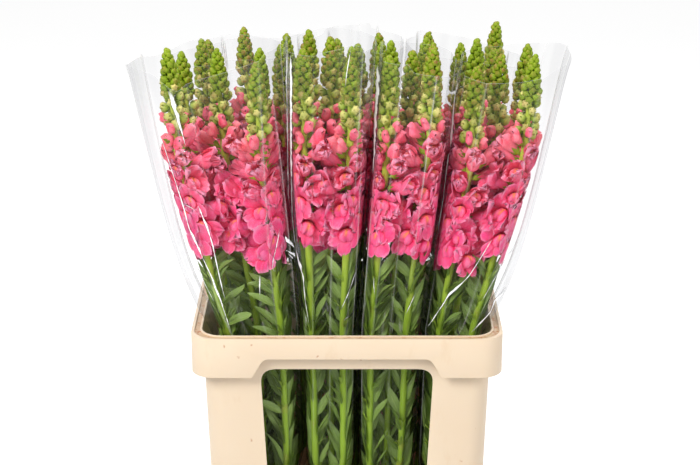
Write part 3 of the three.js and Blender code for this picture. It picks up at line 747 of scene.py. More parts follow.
def dress(tree, shader, look, body, fine, height):  # colour, roughness, gloss, relief and what glows through
    roughness = rangeNode(tree, fine, 0.3, 0.7, *look["rough"])
    feedAll(tree, shader, {"Base Color": body, "Roughness": roughness, "Specular IOR Level": look["gloss"]})
    bumped(tree, shader, height, *look["relief"])
    if "soft" in look:
        feedAll(tree, shader, {"Subsurface Weight": look["soft"], "Subsurface Radius": look["depth"],
                               "Subsurface Scale": 1.0})


# deep colours both the painted shade in throats and folds and the darker veins
petalLook = {
    "open": (1.0, 0.068, 0.26), "deep": (0.76, 0.004, 0.07), "closed": (0.86, 0.215, 0.215),
    "rim": (1.0, 0.44, 0.62), "pale": (1.0, 0.25, 0.40), "yellow": (0.95, 0.34, 0.05),
    "rough": (0.38, 0.56), "gloss": 0.2, "relief": (0.35, 0.0006),
    "soft": 0.3, "depth": (0.004, 0.0015, 0.0015), "blotches": 55.0, "veins": 7.0, "slant": 0.9,
}


def petalMaterial():
    material, tree, shader = startMaterial("petals")
    look = petalLook
    fresh, rim, yellow, shade, place = readTone(tree)
    blotch = useGroup(tree, mottle, Vector=spotOf(tree), Scale=look["blotches"])
    vein = useGroup(tree, veins, Place=place, Count=look["veins"], Slant=look["slant"])
    body = washed(tree, look["closed"],
                  (fresh, look["open"]),
                  # painted shade in the throat and in the folds of shut buds
                  (rangeNode(tree, shade, 0.25, 0.8, 0.6, 0.0), look["deep"]),
                  (times(tree, blotch["Mask"], 0.4), look["pale"]),
                  (times(tree, vein["Mask"], 0.16), look["deep"]),
                  (rangeNode(tree, rim, 0.4, 1.0, 0.0, 0.6), look["rim"]),
                  (yellow, look["yellow"]))
    height = plus(tree, times(tree, vein["Mask"], -0.5), blotch["Fine"])
    dress(tree, shader, look, body, blotch["Fine"], height)
    return material


leafLook = {
    "dark": (0.042, 0.100, 0.010), "light": (0.205, 0.325, 0.045), "young": (0.38, 0.58, 0.035),
    "rib": (0.39, 0.52, 0.11), "under": (0.28, 0.40, 0.11),
    "rough": (0.3, 0.48), "gloss": 0.55, "relief": (0.5, 0.0008),
    "blotches": 60.0, "veins": 8.0, "slant": 0.35,
}


def leafMaterial():
    material, tree, shader = startMaterial("leaves")
    look = leafLook
    young, pick, _, _, place = readTone(tree)
    geometry = tree.nodes.new("ShaderNodeNewGeometry").outputs
    blotch = useGroup(tree, mottle, Vector=geometry["Position"], Scale=look["blotches"])
    vein = useGroup(tree, veins, Place=place, Count=look["veins"], Slant=look["slant"])
    body = washed(tree, look["dark"],
                  (times(tree, pick, 0.75), look["light"]),
                  (young, look["young"]),
                  (times(tree, blotch["Mask"], 0.3), look["light"]),
                  (times(tree, vein["Mask"], 0.25), look["rib"]),
                  (times(tree, vein["Midrib"], 0.7), look["rib"]),
                  (times(tree, geometry["Backfacing"], 0.55), look["under"]))
    sunken = plus(tree, times(tree, vein["Mask"], -0.5), blotch["Fine"])
    height = plus(tree, times(tree, vein["Midrib"], -1.2), sunken)
    dress(tree, shader, look, body, blotch["Fine"], height)
    return material


stemLook = {
    "low": (0.26, 0.42, 0.02), "high": (0.52, 0.62, 0.06), "flush": (0.42, 0.28, 0.08),
    "streak": (0.58, 0.68, 0.15), "down": 0.12,
    "rough": (0.42, 0.6), "gloss": 0.3, "relief": (0.4, 0.0008), "blotches": 30.0,
}


def stemMaterial():
    material, tree, shader = startMaterial("stems")
    look = stemLook
    ripe, *_, place = readTone(tree)
    blotch = useGroup(tree, mottle, Vector=spotOf(tree), Scale=look["blotches"])
    streak = noiseNode(tree, stretched(tree, place, (14.0, 0.8, 1.0)), 3.0, 3.0)
    body = washed(tree, look["low"],
                  (ripe, look["high"]),
                  (rangeNode(tree, streak, 0.5, 0.75, 0.0, 0.45), look["streak"]),
                  (rangeNode(tree, blotch["Mask"], 0.75, 1.0, 0.0, 0.35), look["flush"]))
    shader.inputs["Sheen Weight"].default_value = look["down"]
    height = plus(tree, streak, times(tree, blotch["Fine"], 0.5))
    dress(tree, shader, look, body, blotch["Fine"], height)
    return material


budLook = {
    "green": (0.115, 0.235, 0.003), "light": (0.37, 0.50, 0.03), "tinge": (0.30, 0.085, 0.045),
    "cream": (0.88, 0.82, 0.27), "shade": (0.06, 0.13, 0.01),
    "rough": (0.5, 0.5), "gloss": 0.22, "relief": (0.4, 0.0006), "blotches": 110.0,
}


def budMaterial():
    material, tree, shader = startMaterial("buds and sepals")
    look = budLook
    cream, along, tinge, ridge, _ = readTone(tree)
    blotch = useGroup(tree, mottle, Vector=spotOf(tree), Scale=look["blotches"])
    tip = times(tree, rangeNode(tree, along, 0.56, 0.96), tinge)
    spotted = times(tree, tip, rangeNode(tree, blotch["Fine"], 0.35, 0.6, 0.3, 1.0))
    body = washed(tree, look["light"],
                  (rangeNode(tree, along, 0.15, 0.8), look["green"]),
                  (times(tree, blotch["Mask"], 0.35), look["light"]),
                  (times(tree, ridge, 0.35), look["light"]),
                  # painted shade at the foot of each bud and calyx
                  (rangeNode(tree, along, 0.0, 0.36, 0.8, 0.0), look["shade"]),
                  (cream, look["cream"]),
                  (times(tree, spotted, 0.95), look["tinge"]))
    dress(tree, shader, look, body, blotch["Fine"], blotch["Fine"])
    return material


petals, leaves, stemSkin, buds = petalMaterial(), leafMaterial(), stemMaterial(), budMaterial()
print("stage 2: plant materials are ready")

# grow the bunches
laid = [layStems(bunch) for bunch in bunches]
for stems in laid:
    for stem in stems:
        stem["others"] = [other for other in stems if other is not stem]
        stem["brown"] = vary(0.25, 1.0)  # how ruddy its sepals are

style = np.random.RandomState(77)
stages = (np.arange(floret["kinds"]) / (floret["kinds"] - 1)) ** 1.3
openKinds = [floretKind(mix(1.0, 0.12, stage), style) for stage in stages]
closedKinds = [closedKind(style) for _ in range(closedFloret["kinds"])]


def trianglesOf(made):
    return sum(len(face.vertices) - 2 for face in made.data.polygons)


triangleTotal = 0
for label, stems in enumerate(laid, 1):
    greens = Piece(f"bunch_{label}_greenery")
    for stem in stems:
        flowers = Piece(f"bunch_{label}_florets_{stem['index'] + 1}")
        addStem(greens, stem)
        growLeaves(greens, stem)
        growSpike(greens, stem)
        growLooseBuds(greens, stem)
        growFlorets(flowers, greens, stem, openKinds, closedKinds)
        made = settle(flowers.build([petals]), "petals", f"raceme_{label}_{stem['index'] + 1}")
        triangleTotal += trianglesOf(made)
    made = settle(greens.build([stemSkin, leaves, buds]), "foliage", f"stems_{label}")
    triangleTotal += trianglesOf(made)
print("stage 3: bunches are grown,", triangleTotal, "triangles")

# film sleeves
sleeve = {
    "corner": 3.2, "columns": 132, "rows": 42, "creases": 12, "crowd": 0.13,
    "pleats": 17, "fold": 1.3, "seamWide": 4.2, "seamOut": 0.7, "seamFrom": 0.4,
}
# height of the film's edge along X, on the front and on the back of each sleeve
filmEdges = [
    ([(-258, 804), (-238, 801), (-220, 784), (-207, 779), (-178, 794), (-150, 806), (-126, 816), (-103, 820),
      (-78, 829), (-66, 834)], [(-261, 791), (-213, 808), (-160, 816), (-80, 818)]),
    ([(-66, 825), (-52, 826), (-20, 834), (5, 839), (27, 830)], [(-70, 820), (-20, 826), (30, 822)]),
    ([(28, 831), (42, 812), (71, 815), (83, 806), (119, 796), (134, 793)],
     [(30, 812), (84, 806), (134, 800)]),
    ([(133, 792), (165, 789), (200, 792), (238, 796), (266, 810)], [(140, 800), (200, 802), (268, 812)]),
    ([(-248, 766), (-168, 778), (-52, 784)], [(-248, 760), (-168, 773), (-78, 777), (-68, 786), (-50, 785)]),
    ([(-48, 786), (14, 792), (76, 786)],
     [(-48, 785), (-26, 784), (-24, 789), (4, 794), (42, 796), (43, 789), (76, 786)]),
    ([(80, 788), (168, 778), (248, 762)],
     [(80, 785), (95, 783), (97, 790), (172, 777), (202, 767), (247, 758)]),
]
# painted highlights along folds on the front of a sleeve: (x, z, width) along each
glints = {
    1: [[(-213, 782, 15), (-207, 756, 10), (-202, 732, 5), (-197, 707, 1.2)],
        [(-228, 717, 1.5), (-221, 689, 1.9), (-213, 658, 1.9), (-205, 627, 3.8), (-198, 593, 3.8),
         (-191, 577, 6.2), (-183, 554, 3.1), (-172, 525, 3.1), (-167, 508, 6.2), (-162, 492, 3.8),
         (-151, 447, 1.2)],
        [(-204, 628, 3.1), (-194, 624, 1.9), (-185, 618, 1.2)],
        [(-186, 629, 1.2), (-180, 612, 6.2), (-176, 600, 6.2), (-170, 576, 3.1), (-161, 518, 2.5),
         (-156, 491, 1.2)],
        [(-192, 540, 1), (-181, 512, 1.5), (-170, 487, 1)],
        [(-85, 592, 1.2), (-89, 571, 2.5), (-94, 551, 3.5), (-96, 537, 1.5), (-93, 531, 1), (-88, 532, 1)],
        [(-112, 529, 8.8), (-112, 521, 5), (-112, 513, 2.8), (-112, 495, 1.2)],
        [(-75, 815, 4.4), (-76, 778, 3.8), (-76, 725, 3.1), (-76, 674, 2.5), (-75, 616, 1.2)]],
    2: [[(-67, 822, 5), (-67, 791, 6.2), (-68, 737, 5.6), (-69, 679, 5), (-70, 626, 3), (-70, 592, 1.7),
         (-67, 558, 2.5), (-63, 545, 6.2), (-59, 532, 8.8), (-56, 522, 3.8), (-54, 488, 2.2),
         (-49, 452, 1.5)],
        [(-56, 466, 1.2), (-53, 461, 3.8), (-51, 453, 6.2)],
        [(12, 531, 1.2), (5, 510, 2), (-1, 494, 2.5), (-8, 477, 1.7)],
        [(4, 468, 3.1), (-1, 464, 3.1), (-6, 459, 1.2)],
        [(5, 836, 1.2), (3, 823, 2.5), (0, 805, 2), (-2, 785, 1.2)]],
    3: [[(40, 800, 7.5), (40, 784, 7.5), (38, 752, 5.6), (36, 720, 4.4), (35, 688, 3.2), (33, 660, 1.5)],
        [(35, 525, 1.7), (35, 513, 4.2), (36, 497, 1.5)],
        [(88, 500, 1.2), (84, 491, 4.4), (79, 479, 3.1), (75, 469, 1.2)],
        [(129, 684, 3), (126, 650, 2.2), (123, 615, 2.5), (117, 565, 1.5)]],
    4: [[(140, 776, 3.1), (136, 752, 2.8), (134, 721, 2), (131, 689, 1.7)],
        [(184, 582, 1.5), (171, 556, 2), (157, 529, 2), (147, 516, 2.5), (139, 508, 7.5), (131, 498, 3.8),
         (118, 470, 1.7), (106, 442, 2.2)],
        [(221, 587, 1.5), (213, 566, 2.5), (203, 552, 2), (189, 525, 1.7), (173, 489, 1.2)],
        [(205, 506, 3.8), (200, 494, 7.5), (191, 489, 3.8), (185, 469, 3), (173, 457, 3.8), (160, 443, 1.9)]],
    5: [[(-205, 740, 3), (-196, 690, 5), (-188, 640, 2), (-170, 560, 1)]],
    6: [[(-30, 760, 4), (-28, 700, 5), (-25, 640, 2)], [(48, 770, 3), (45, 690, 4), (42, 620, 2)]],
    7: [[(200, 740, 3), (192, 690, 5), (185, 640, 2), (168, 560, 1)]],
}
# painted highlight lines for welded seams on the backs of the sleeves: (x, z, width) along each
seamGlints = {
    1: [[(-161, 816, 4), (-158, 760, 4), (-152, 700, 3)]],
    2: [], 3: [],
    4: [[(234, 801, 5), (229, 770, 4), (222, 730, 2)]],
    5: [[(-170, 772, 4), (-166, 730, 4)], [(-68, 785, 4), (-66, 740, 4)]],
    6: [[(-25, 789, 4), (-24, 745, 4)], [(42, 794, 4), (41, 750, 4)]],
    7: [[(97, 789, 4), (96, 745, 4)], [(222, 762, 3), (216, 720, 3)]],
}
glintShape = {"widen": 0.95, "bulge": 0.2, "lift": 0.5, "step": 6, "fade": 10,
              "across": (-1, -0.62, -0.28, 0, 0.28, 0.62, 1)}


def addGlint(piece, skin, path, behind=False):  # a painted highlight strip, raised like a fold, along (x, z, width) on the film's grid
    x, y, z, outX, outY = skin
    path = np.array(path, float)
    along = np.concatenate([[0], np.cumsum(np.hypot(np.diff(path[:, 0]), np.diff(path[:, 1])))])
    steps = max(4, int(along[-1] / glintShape["step"]))
    reach = np.linspace(0, along[-1], steps + 1)
    pathX, pathZ, wide = [np.interp(reach, along, path[:, k]) for k in range(3)]
    points = []
    for count in range(steps + 1):
        here = [np.array([np.interp(pathZ[count], z[:, c], grid[:, c]) for c in range(z.shape[1])])
                for grid in (x, y, outX, outY)]
        front = np.where(here[3] > 5)[0] if behind else np.where(here[3] < -5)[0]
        front = front[np.argsort(here[0][front])]
        before, later = max(count - 1, 0), min(count + 1, steps)
        goX, goZ = pathX[later] - pathX[before], pathZ[later] - pathZ[before]
        long = math.hypot(goX, goZ)
        for u in glintShape["across"]:
            half = wide[count] * 0.5 * glintShape["widen"]
            px = pathX[count] - goZ / long * u * half
            pz = pathZ[count] + goX / long * u * half
            py, awayX, awayY = [float(np.interp(px, here[0][front], grid[front])) for grid in here[1:]]
            size = math.hypot(awayX, awayY)
            lift = glintShape["lift"] + glintShape["bulge"] * wide[count] * (1 - u * u)
            points.append((px + awayX / size * lift, py + awayY / size * lift, pz))
    across, reach = np.array(glintShape["across"]), reach[:, None]
    ends = np.clip(np.minimum(reach, along[-1] - reach) / glintShape["fade"], 0, 1)
    tone, place = rowsOf(np.abs(across), ends, 0.0, 1.0), rowsOf(across, reach, pathX[0])
    piece.add(points, [gridFaces(steps + 1, len(across))], tone, place, 1)


def superRing(plan, angle, corner):
    x, y, halfX, halfY = plan
    cos, sin = np.cos(angle), np.sin(angle)
    reach = (np.abs(cos) ** corner + np.abs(sin) ** corner) ** (-1 / corner)
    return x + halfX * reach * cos, y + halfY * reach * sin


def sleevePoint(bunch, angle, z):  # a point of the sleeve's skin before it is creased
    x, y = superRing(bulgedPlan(bunch, np.maximum(z, layout["low"])), angle, sleeve["corner"])
    lowX, lowY = superRing([*bundleFoot(bunch), layout["gather"], layout["gather"]], angle, 2)
    t = np.clip((z - layout["hem"]) / (layout["low"] - layout["hem"]), 0, 1)
    return mix(lowX, x, t), mix(lowY, y, t)


def filmEdge(label, bunch, edges, angle):  # height of the wavy edge all round the sleeve
    x, y = sleevePoint(bunch, angle, np.full(len(angle), bunch["film"], float))
    _, middle, _, half = [float(value) for value in bulgedPlan(bunch, bunch["film"])]
    front, back = [np.interp(x, *np.array(side).T) for side in edges]
    return mix(front, back, smooth((y - (middle - half)) / (2 * half))) + 0.5 * np.sin(7 * angle + label)


def addSeam(piece, skin, column):  # a welded seam stands off the film, from part way up to the edge
    x, y, z, outX, outY = [grid[int(sleeve["rows"] * sleeve["seamFrom"]):, column] for grid in skin]
    length = np.maximum(np.hypot(outX, outY), 1)
    awayX, awayY = outX / length, outY / length
    strip = []
    for across, out in ((-0.5, 0.1), (-0.5, 0.5), (0, 1.0), (0.5, 0.5), (0.5, 0.1)):
        wide, lift = across * sleeve["seamWide"], out * sleeve["seamOut"]
        strip.append((x - awayY * wide + awayX * lift, y + awayX * wide + awayY * lift, z + 3 * (out > 0.2)))
    points = np.array(strip).transpose(2, 0, 1).reshape(-1, 3)
    # the seam's tone gives it mostly the painted highlight of a cut edge, with a little painted glint
    piece.add(points, [gridFaces(len(z), len(strip))], (0.1, 0.8, 0.3, 1.0), points[:, [0, 2, 1]])


def growSleeve(label, bunch, edges, style):
    columns, rows, count = [sleeve[key] for key in ("columns", "rows", "creases")]
    base = (np.arange(count) + style.uniform(-0.32, 0.32, count)) / count * 2 * math.pi
    drift = style.uniform(-0.22, 0.22, count)
    share = np.linspace(0, count, columns, endpoint=False)
    whole, part = np.floor(share).astype(int), share - np.floor(share)
    part = part - sleeve["crowd"] * np.sin(2 * math.pi * part)  # columns crowd round the creases
    after = (whole + 1) % count
    topAngle = base[whole] + part * ((base[after] - base[whole]) % (2 * math.pi))
    edge = filmEdge(label, bunch, edges, topAngle)
    z = layout["hem"] + (edge - layout["hem"]) * np.linspace(0, 1, rows - 1)[:, None] ** 0.9
    z = np.concatenate([z[:-1], z[-1:] - 1.1, z[-1:]])
    high = (z - 440) / 360  # 0 at the rim of the container, about 1 at the edge of the film
    start, finish = [base[side] + drift[side] * high for side in (whole, after)]
    span = (finish - start) % (2 * math.pi)
    angle = start + part * span
    # between two creases the film is pulled nearly flat
    flat = 0.72 * np.clip((z - 200) / 120, 0, 1) * np.clip(1.3 - np.abs(span) / 1.1, 0, 1)
    x, y = [mix(curved, mix(first, last, part), flat) for curved, first, last
            in zip(*[sleevePoint(bunch, turn, z) for turn in (angle, start, finish)])]
    planX, planY = bulgedPlan(bunch, np.maximum(z, layout["low"]))[:2]
    outX, outY = x - planX, y - planY
    length = np.maximum(np.hypot(outX, outY), 1)
    # each crease lives at two heights only; pleats fill the foot and crinkles lie just above the rim
    strength, lives = style.uniform(0.3, 1.0, count), style.uniform(-0.3, 1.1, (2, count))
    nearest = np.where(part < 0.5, whole, after)
    upper, lower = [np.exp(-((high - lives[k][nearest]) / wide) ** 2) for k, wide in ((0, 0.42), (1, 0.3))]
    nearness = np.minimum(part, 1 - part) * span
    crease = np.exp(-nearness / 0.018) * strength[nearest] * np.clip(upper + 0.6 * lower, 0, 1)
    pleats = np.sin(sleeve["pleats"] * angle + 2.1 * np.sin(3 * angle))
    pleats = pleats * np.clip(1.4 - (z - 140) / 260, 0, 1) ** 2
    crinkle = np.sin(z / 7.5 + 5 * angle) * np.exp(-((z - 452) / 40) ** 2) * np.sin(11 * angle) * 0.45
    sway = 0.7 * np.sin(5 * angle + z / 61 + label) * np.clip(high, 0, 1)
    push = sleeve["fold"] * (crease + 0.5 * pleats + crinkle * 0.8 + 0.45 * sway) - 0.25
    narrow = np.clip((z - layout["hem"]) / 60, 0.15, 1)
    x, y = x + outX / length * push * narrow, y + outY / length * push * narrow
    # the cut edge, the creases and the crinkles get painted highlights in the film material
    rim = np.clip(1 - (edge - z) / 1.0, 0, 1)
    piece = Piece(f"bunch_{label}_film")
    piece.add(rowsOf(x, y, z), [gridFaces(rows, columns, wrap=True)],
              rowsOf(crease, rim, np.abs(crinkle) * 1.4, 1.0), rowsOf(angle * 60, z, label * 100.0))
    skin = (x, y, z, outX, outY)
    for seamAngle in (style.uniform(0.15, 0.5), math.pi - style.uniform(0.15, 0.5)):
        aside = (topAngle - seamAngle + math.pi) % (2 * math.pi) - math.pi
        addSeam(piece, skin, int(np.argmin(np.abs(aside))))
    for path in glints[label]:
        addGlint(piece, skin, path)
    # painted highlight strips on the backs of the sleeves
    for path in seamGlints[label]:
        addGlint(piece, skin, path, behind=True)
    return piece


# core is the painted highlight colour, shade the painted shade at its edges, gleam how much the painted
# highlight glows
glintLook = {"core": (0.97, 0.97, 0.98), "shade": (0.12, 0.13, 0.13), "gleam": 0.12, "rough": 0.25,
             "relief": (0.3, 0.001)}


def glintMaterial():  # painted highlight: a bright, faintly glowing core between two edges of painted shade, fading out at both ends
    material, tree, shader = startMaterial("painted film glints")
    look = glintLook
    aside, ends, _, _, place = readTone(tree)
    ragged = noiseNode(tree, stretched(tree, place, (0.5, 0.09, 0.3)), 1.0, 3.0)
    width = times(tree, rangeNode(tree, ragged, 0.35, 0.65, 0.04, 0.5), ends)
    core = rangeNode(tree, mathNode(tree, "SUBTRACT", aside, width), 0.0, 0.2, 1.0, 0.0)
    fade = rangeNode(tree, aside, 0.62, 1.0, 1.0, 0.0)
    # the core is a painted highlight, white and glowing a little
    feedAll(tree, shader, {"Base Color": look["core"], "Roughness": look["rough"],
                           "Emission Color": (1, 1, 1), "Emission Strength": look["gleam"]})
    bumped(tree, shader, ragged, *look["relief"])
    see = tree.nodes.new("ShaderNodeBsdfTransparent")
    # painted shade along both edges of the strip, fading out at the ends
    shade = times(tree, times(tree, fade, ends), 0.42)
    tree.links.new(mixColour(tree, shade, (1.0, 1.0, 1.0), look["shade"]), see.inputs["Color"])
    share = times(tree, core, times(tree, ends, 0.92))
    mixed = mixShaders(tree, share, see.outputs[0], shader.outputs[0])
    tree.links.new(mixed, tree.nodes["Material Output"].inputs["Surface"])
    return material


# the last two rows set painted highlights on creases and the cut edge, and a painted reflection that grows
# towards the top of the film
filmLook = {
    "clear": (0.972, 0.972, 0.974), "streak": (0.925, 0.925, 0.93), "slanted": (0.77, 0.77, 0.78),
    "facing": 0.005, "grazing": 0.2, "rough": 0.045, "relief": (0.4, 0.001),
    "paintedHighlight": (0.93, 0.935, 0.95), "dull": 0.3, "crease": 0.5, "edge": 0.2,
    "paintedGlare": 0.001, "glareByHeight": 0.015, "glareHeights": (640, 800),
}


def filmMaterial():  # see-through and glossy, with painted highlights where it is creased or cut and a painted reflection that grows towards the top
    material, tree, shader = startMaterial("clear film")
    look = filmLook
    crease, edge, crinkle, _, place = readTone(tree)
    blotch = useGroup(tree, mottle, Vector=stretched(tree, place, (0.02, 0.004, 0.05)), Scale=1.0)
    scratch = noiseNode(tree, stretched(tree, place, (0.5, 0.02, 0.1)), 1.0, 3.0)
    streak = noiseNode(tree, stretched(tree, place, (0.05, 0.004, 0.05)), 1.0, 0.5, 0.4)
    facing = tree.nodes.new("ShaderNodeLayerWeight")
    facing.inputs["Blend"].default_value = 0.5
    slant = mathNode(tree, "POWER", facing.outputs["Facing"], 3.0)
    tint = washed(tree, look["clear"],
                  (rangeNode(tree, streak, 0.44, 0.56), look["streak"]),
                  (slant, look["slanted"]))
    see = tree.nodes.new("ShaderNodeBsdfTransparent")
    tree.links.new(tint, see.inputs["Color"])
    gloss = tree.nodes.new("ShaderNodeBsdfGlossy")
    gloss.inputs["Roughness"].default_value = look["rough"]
    bumped(tree, gloss, blotch["Mask"], *look["relief"])
    shine = plus(tree, times(tree, slant, look["grazing"]), look["facing"])
    clear = mixShaders(tree, shine, see.outputs[0], gloss.outputs[0])
    # painted highlight along the creases, broken up by scratches, and along the cut edge
    paintedHighlight = times(tree, mathNode(tree, "POWER", crease, 1.5), look["crease"])
    paintedHighlight = times(tree, paintedHighlight, rangeNode(tree, scratch, 0.3, 0.6, 0.35, 1.0))
    paintedHighlight = plus(tree, paintedHighlight, times(tree, edge, look["edge"]))
    # painted glints on the crinkles just above the rim
    spots = times(tree, crinkle, rangeNode(tree, blotch["Fine"], 0.58, 0.66, 0.0, 0.25))
    # painted reflection of the overhead light: a mottled white veil that grows towards the top of the film
    glareByHeight = rangeNode(tree, partsOf(tree, place)[1], *look["glareHeights"], look["paintedGlare"], look["glareByHeight"])
    paintedGlare = times(tree, rangeNode(tree, blotch["Mask"], 0.0, 1.0, 0.6, 1.4), glareByHeight)
    paintedHighlight = mathNode(tree, "ADD", plus(tree, paintedHighlight, spots), paintedGlare, clamp=True)
    feedAll(tree, shader, {"Base Color": look["paintedHighlight"], "Roughness": look["dull"]})
    mixed = mixShaders(tree, paintedHighlight, clear, shader.outputs[0])
    tree.links.new(mixed, tree.nodes["Material Output"].inputs["Surface"])
    return material


clearFilm, paintedGlints = filmMaterial(), glintMaterial()
filmStyle = np.random.RandomState(311)
for label, (bunch, edges) in enumerate(zip(bunches, filmEdges), 1):
    made = growSleeve(label, bunch, edges, filmStyle).build([clearFilm, paintedGlints])
    settle(made, "clear_film", f"sleeve_{label}")
    triangleTotal += trianglesOf(made)
print("stage 4: the sleeves are on,", triangleTotal, "triangles")

# elastic bands
bandShape = {"slack": 0.6, "film": 0.8, "thick": 1.5, "tall": 5.0, "sides": 48, "across": 12, "height": 140}
bandLook = {"dark": (0.55, 0.36, 0.16), "light": (0.68, 0.48, 0.25),
            "rough": (0.5, 0.75), "gloss": 0.5, "relief": (0.4, 0.0005), "blotches": 160.0}


def bandMaterial():
    material, tree, shader = startMaterial("band rubber")
    blotch = useGroup(tree, mottle, Vector=spotOf(tree), Scale=bandLook["blotches"])
    body = mixColour(tree, blotch["Mask"], bandLook["dark"], bandLook["light"])
    dress(tree, shader, bandLook, body, blotch["Fine"], blotch["Fine"])
    return material


def growBand(label, bunch):  # a flat ring of rubber, a little wavy, round the foot of the sleeve
    sides, across = bandShape["sides"], bandShape["across"]
    angle = np.arange(sides)[:, None] / sides * 2 * math.pi
    around = np.arange(across) / across * 2 * math.pi
    cos, sin = [np.sign(value) * np.abs(value) ** 0.5 for value in (np.cos(around), np.sin(around))]
    thick, tall = bandShape["thick"] / 2, bandShape["tall"] / 2
    top = (bandShape["height"] + tall - layout["hem"]) / (layout["low"] - layout["hem"])
    inside = [mix(layout["gather"], half * share, top) + bandShape["film"] + bandShape["slack"]
              for half, share in zip(bunch["atRim"][2:], layout["lowSize"])]
    footX, footY = bundleFoot(bunch)
    x = footX + (inside[0] + (thick + thick * cos)) * np.cos(angle)
    y = footY + (inside[1] + (thick + thick * cos)) * np.sin(angle)
    wavy = 0.5 * np.sin(2 * angle + label) + 0.25 * np.sin(5 * angle)
    faces = gridFaces(sides + 1, across, wrap=True) % (sides * across)
    piece = Piece(f"bunch_{label}_band")
    piece.add(rowsOf(x, y, bandShape["height"] + tall * sin + wavy), [faces], (0, 0, 0, 1))
    return piece


rubber = bandMaterial()
for label, bunch in enumerate(bunches, 1):
    settle(growBand(label, bunch).build([rubber]), "rubber", f"band_{label}")
print("stage 5: bands are on")

# container
box = {
    "height": 442, "body": (193, 139, 27), "shoulder": 385, "shoulderInset": 5, "baseInset": 16, "wall": 3,
    "floor": 5, "rim": (203.5, 150, 30), "rimBottom": 388, "skirt": 3,
    "relief": (382, 414, 127, 108.5, 7), "window": (212, 394, 105, 113.5, 21),
    "corners": 12, "edge": 1.9, "groove": (4.0, 11.0, 1.5),
}


def outlinePoints(halfX, halfY, radius, segments):
    turn = np.linspace(0, math.pi / 2, segments + 1)
    points = []
    for signX, signY, start in ((1, 1, 0), (-1, 1, 1), (-1, -1, 2), (1, -1, 3)):
        for step in turn:
            angle = start * math.pi / 2 + step
            points.append((signX * (halfX - radius) + radius * math.cos(angle),
                           signY * (halfY - radius) + radius * math.sin(angle)))
    return np.array(points)


def meshFrom(name, points, faces):
    mesh = bpy.data.meshes.new(name)
    mesh.from_pydata((np.asarray(points) * 0.001).tolist(), [], faces)
    made = bpy.data.objects.new(name, mesh)
    bpy.context.scene.collection.objects.link(made)
    return made


def solidFrom(name, rings):  # closed at its first and its last ring
    count = len(rings[0])
    faces = gridFaces(len(rings), count, wrap=True).tolist()
    faces += [list(range(count))[::-1], [(len(rings) - 1) * count + k for k in range(count)]]
    return meshFrom(name, np.concatenate(rings), faces)


def loftBlock(name, shape, levels):  # a rounded oblong, drawn in by an inset at each level
    outline = outlinePoints(*shape, box["corners"])
    return solidFrom(name, [rowsOf(*(outline - np.sign(outline) * inset).T, z) for z, inset in levels])


def barBlock(name, profile, length):  # a bar from the middle to the front, drawn in X and Z
    x, z = np.array(profile).T
    return solidFrom(name, [rowsOf(x, y, z) for y in (0, -length)])


def rounded(first, corner, last, steps):  # points round a corner
    return [[(1 - t) ** 2 * a + 2 * t * (1 - t) * b + t * t * c for a, b, c in zip(first, corner, last)]
            for t in np.linspace(0, 1, steps)]


def upperCorner(half, top, lean, radius, steps):
    return rounded((half - lean * radius, top - radius), (half, top), (half - radius, top), steps)


def mirrored(right):  # the right half of a profile, then the left half
    return right + [(-x, z) for x, z in right[::-1]]


def windowProfile():
    bottom, top, halfBottom, halfTop, radius = box["window"]
    lean = (halfTop - halfBottom) / (top - bottom)
    lower = rounded((halfBottom - radius, bottom), (halfBottom, bottom),
                    (halfBottom + lean * radius, bottom + radius), 9)
    return mirrored(lower + upperCorner(halfTop, top, lean, radius, 9))


def reliefProfile():  # what the skirt leaves open over the window
    bottom, top, halfBottom, halfTop, radius = box["relief"]
    lean = (halfTop - halfBottom) / (top - bottom)
    return mirrored([(halfBottom, bottom)] + upperCorner(halfTop, top, lean, radius, 7))


def combine(target, tool, operation):
    modifier = target.modifiers.new("shape", "BOOLEAN")
    modifier.object, modifier.operation, modifier.solver = tool, operation, "EXACT"
    applyModifiers(target)
    bpy.data.objects.remove(tool)


def applyModifiers(target):
    graph = bpy.context.evaluated_depsgraph_get()
    mesh = bpy.data.meshes.new_from_object(target.evaluated_get(graph))
    target.modifiers.clear()
    old, target.data = target.data, mesh
    bpy.data.meshes.remove(old)


def softenEdges(target):  # flat faces made whole, then their edges rounded
    mesh = bmesh.new()
    mesh.from_mesh(target.data)
    bmesh.ops.remove_doubles(mesh, verts=mesh.verts, dist=1e-5)
    bmesh.ops.dissolve_limit(mesh, angle_limit=math.radians(0.5), verts=mesh.verts, edges=mesh.edges)
    mesh.to_mesh(target.data)
    mesh.free()
    bevel = target.modifiers.new("soft edges", "BEVEL")
    bevel.width, bevel.segments, bevel.limit_method = box["edge"] * 0.001, 3, "ANGLE"
    bevel.angle_limit = math.radians(35)
    bevel.harden_normals = False
    applyModifiers(target)
    target.data.shade_smooth()
    target.data.set_sharp_from_angle(angle=math.radians(32))


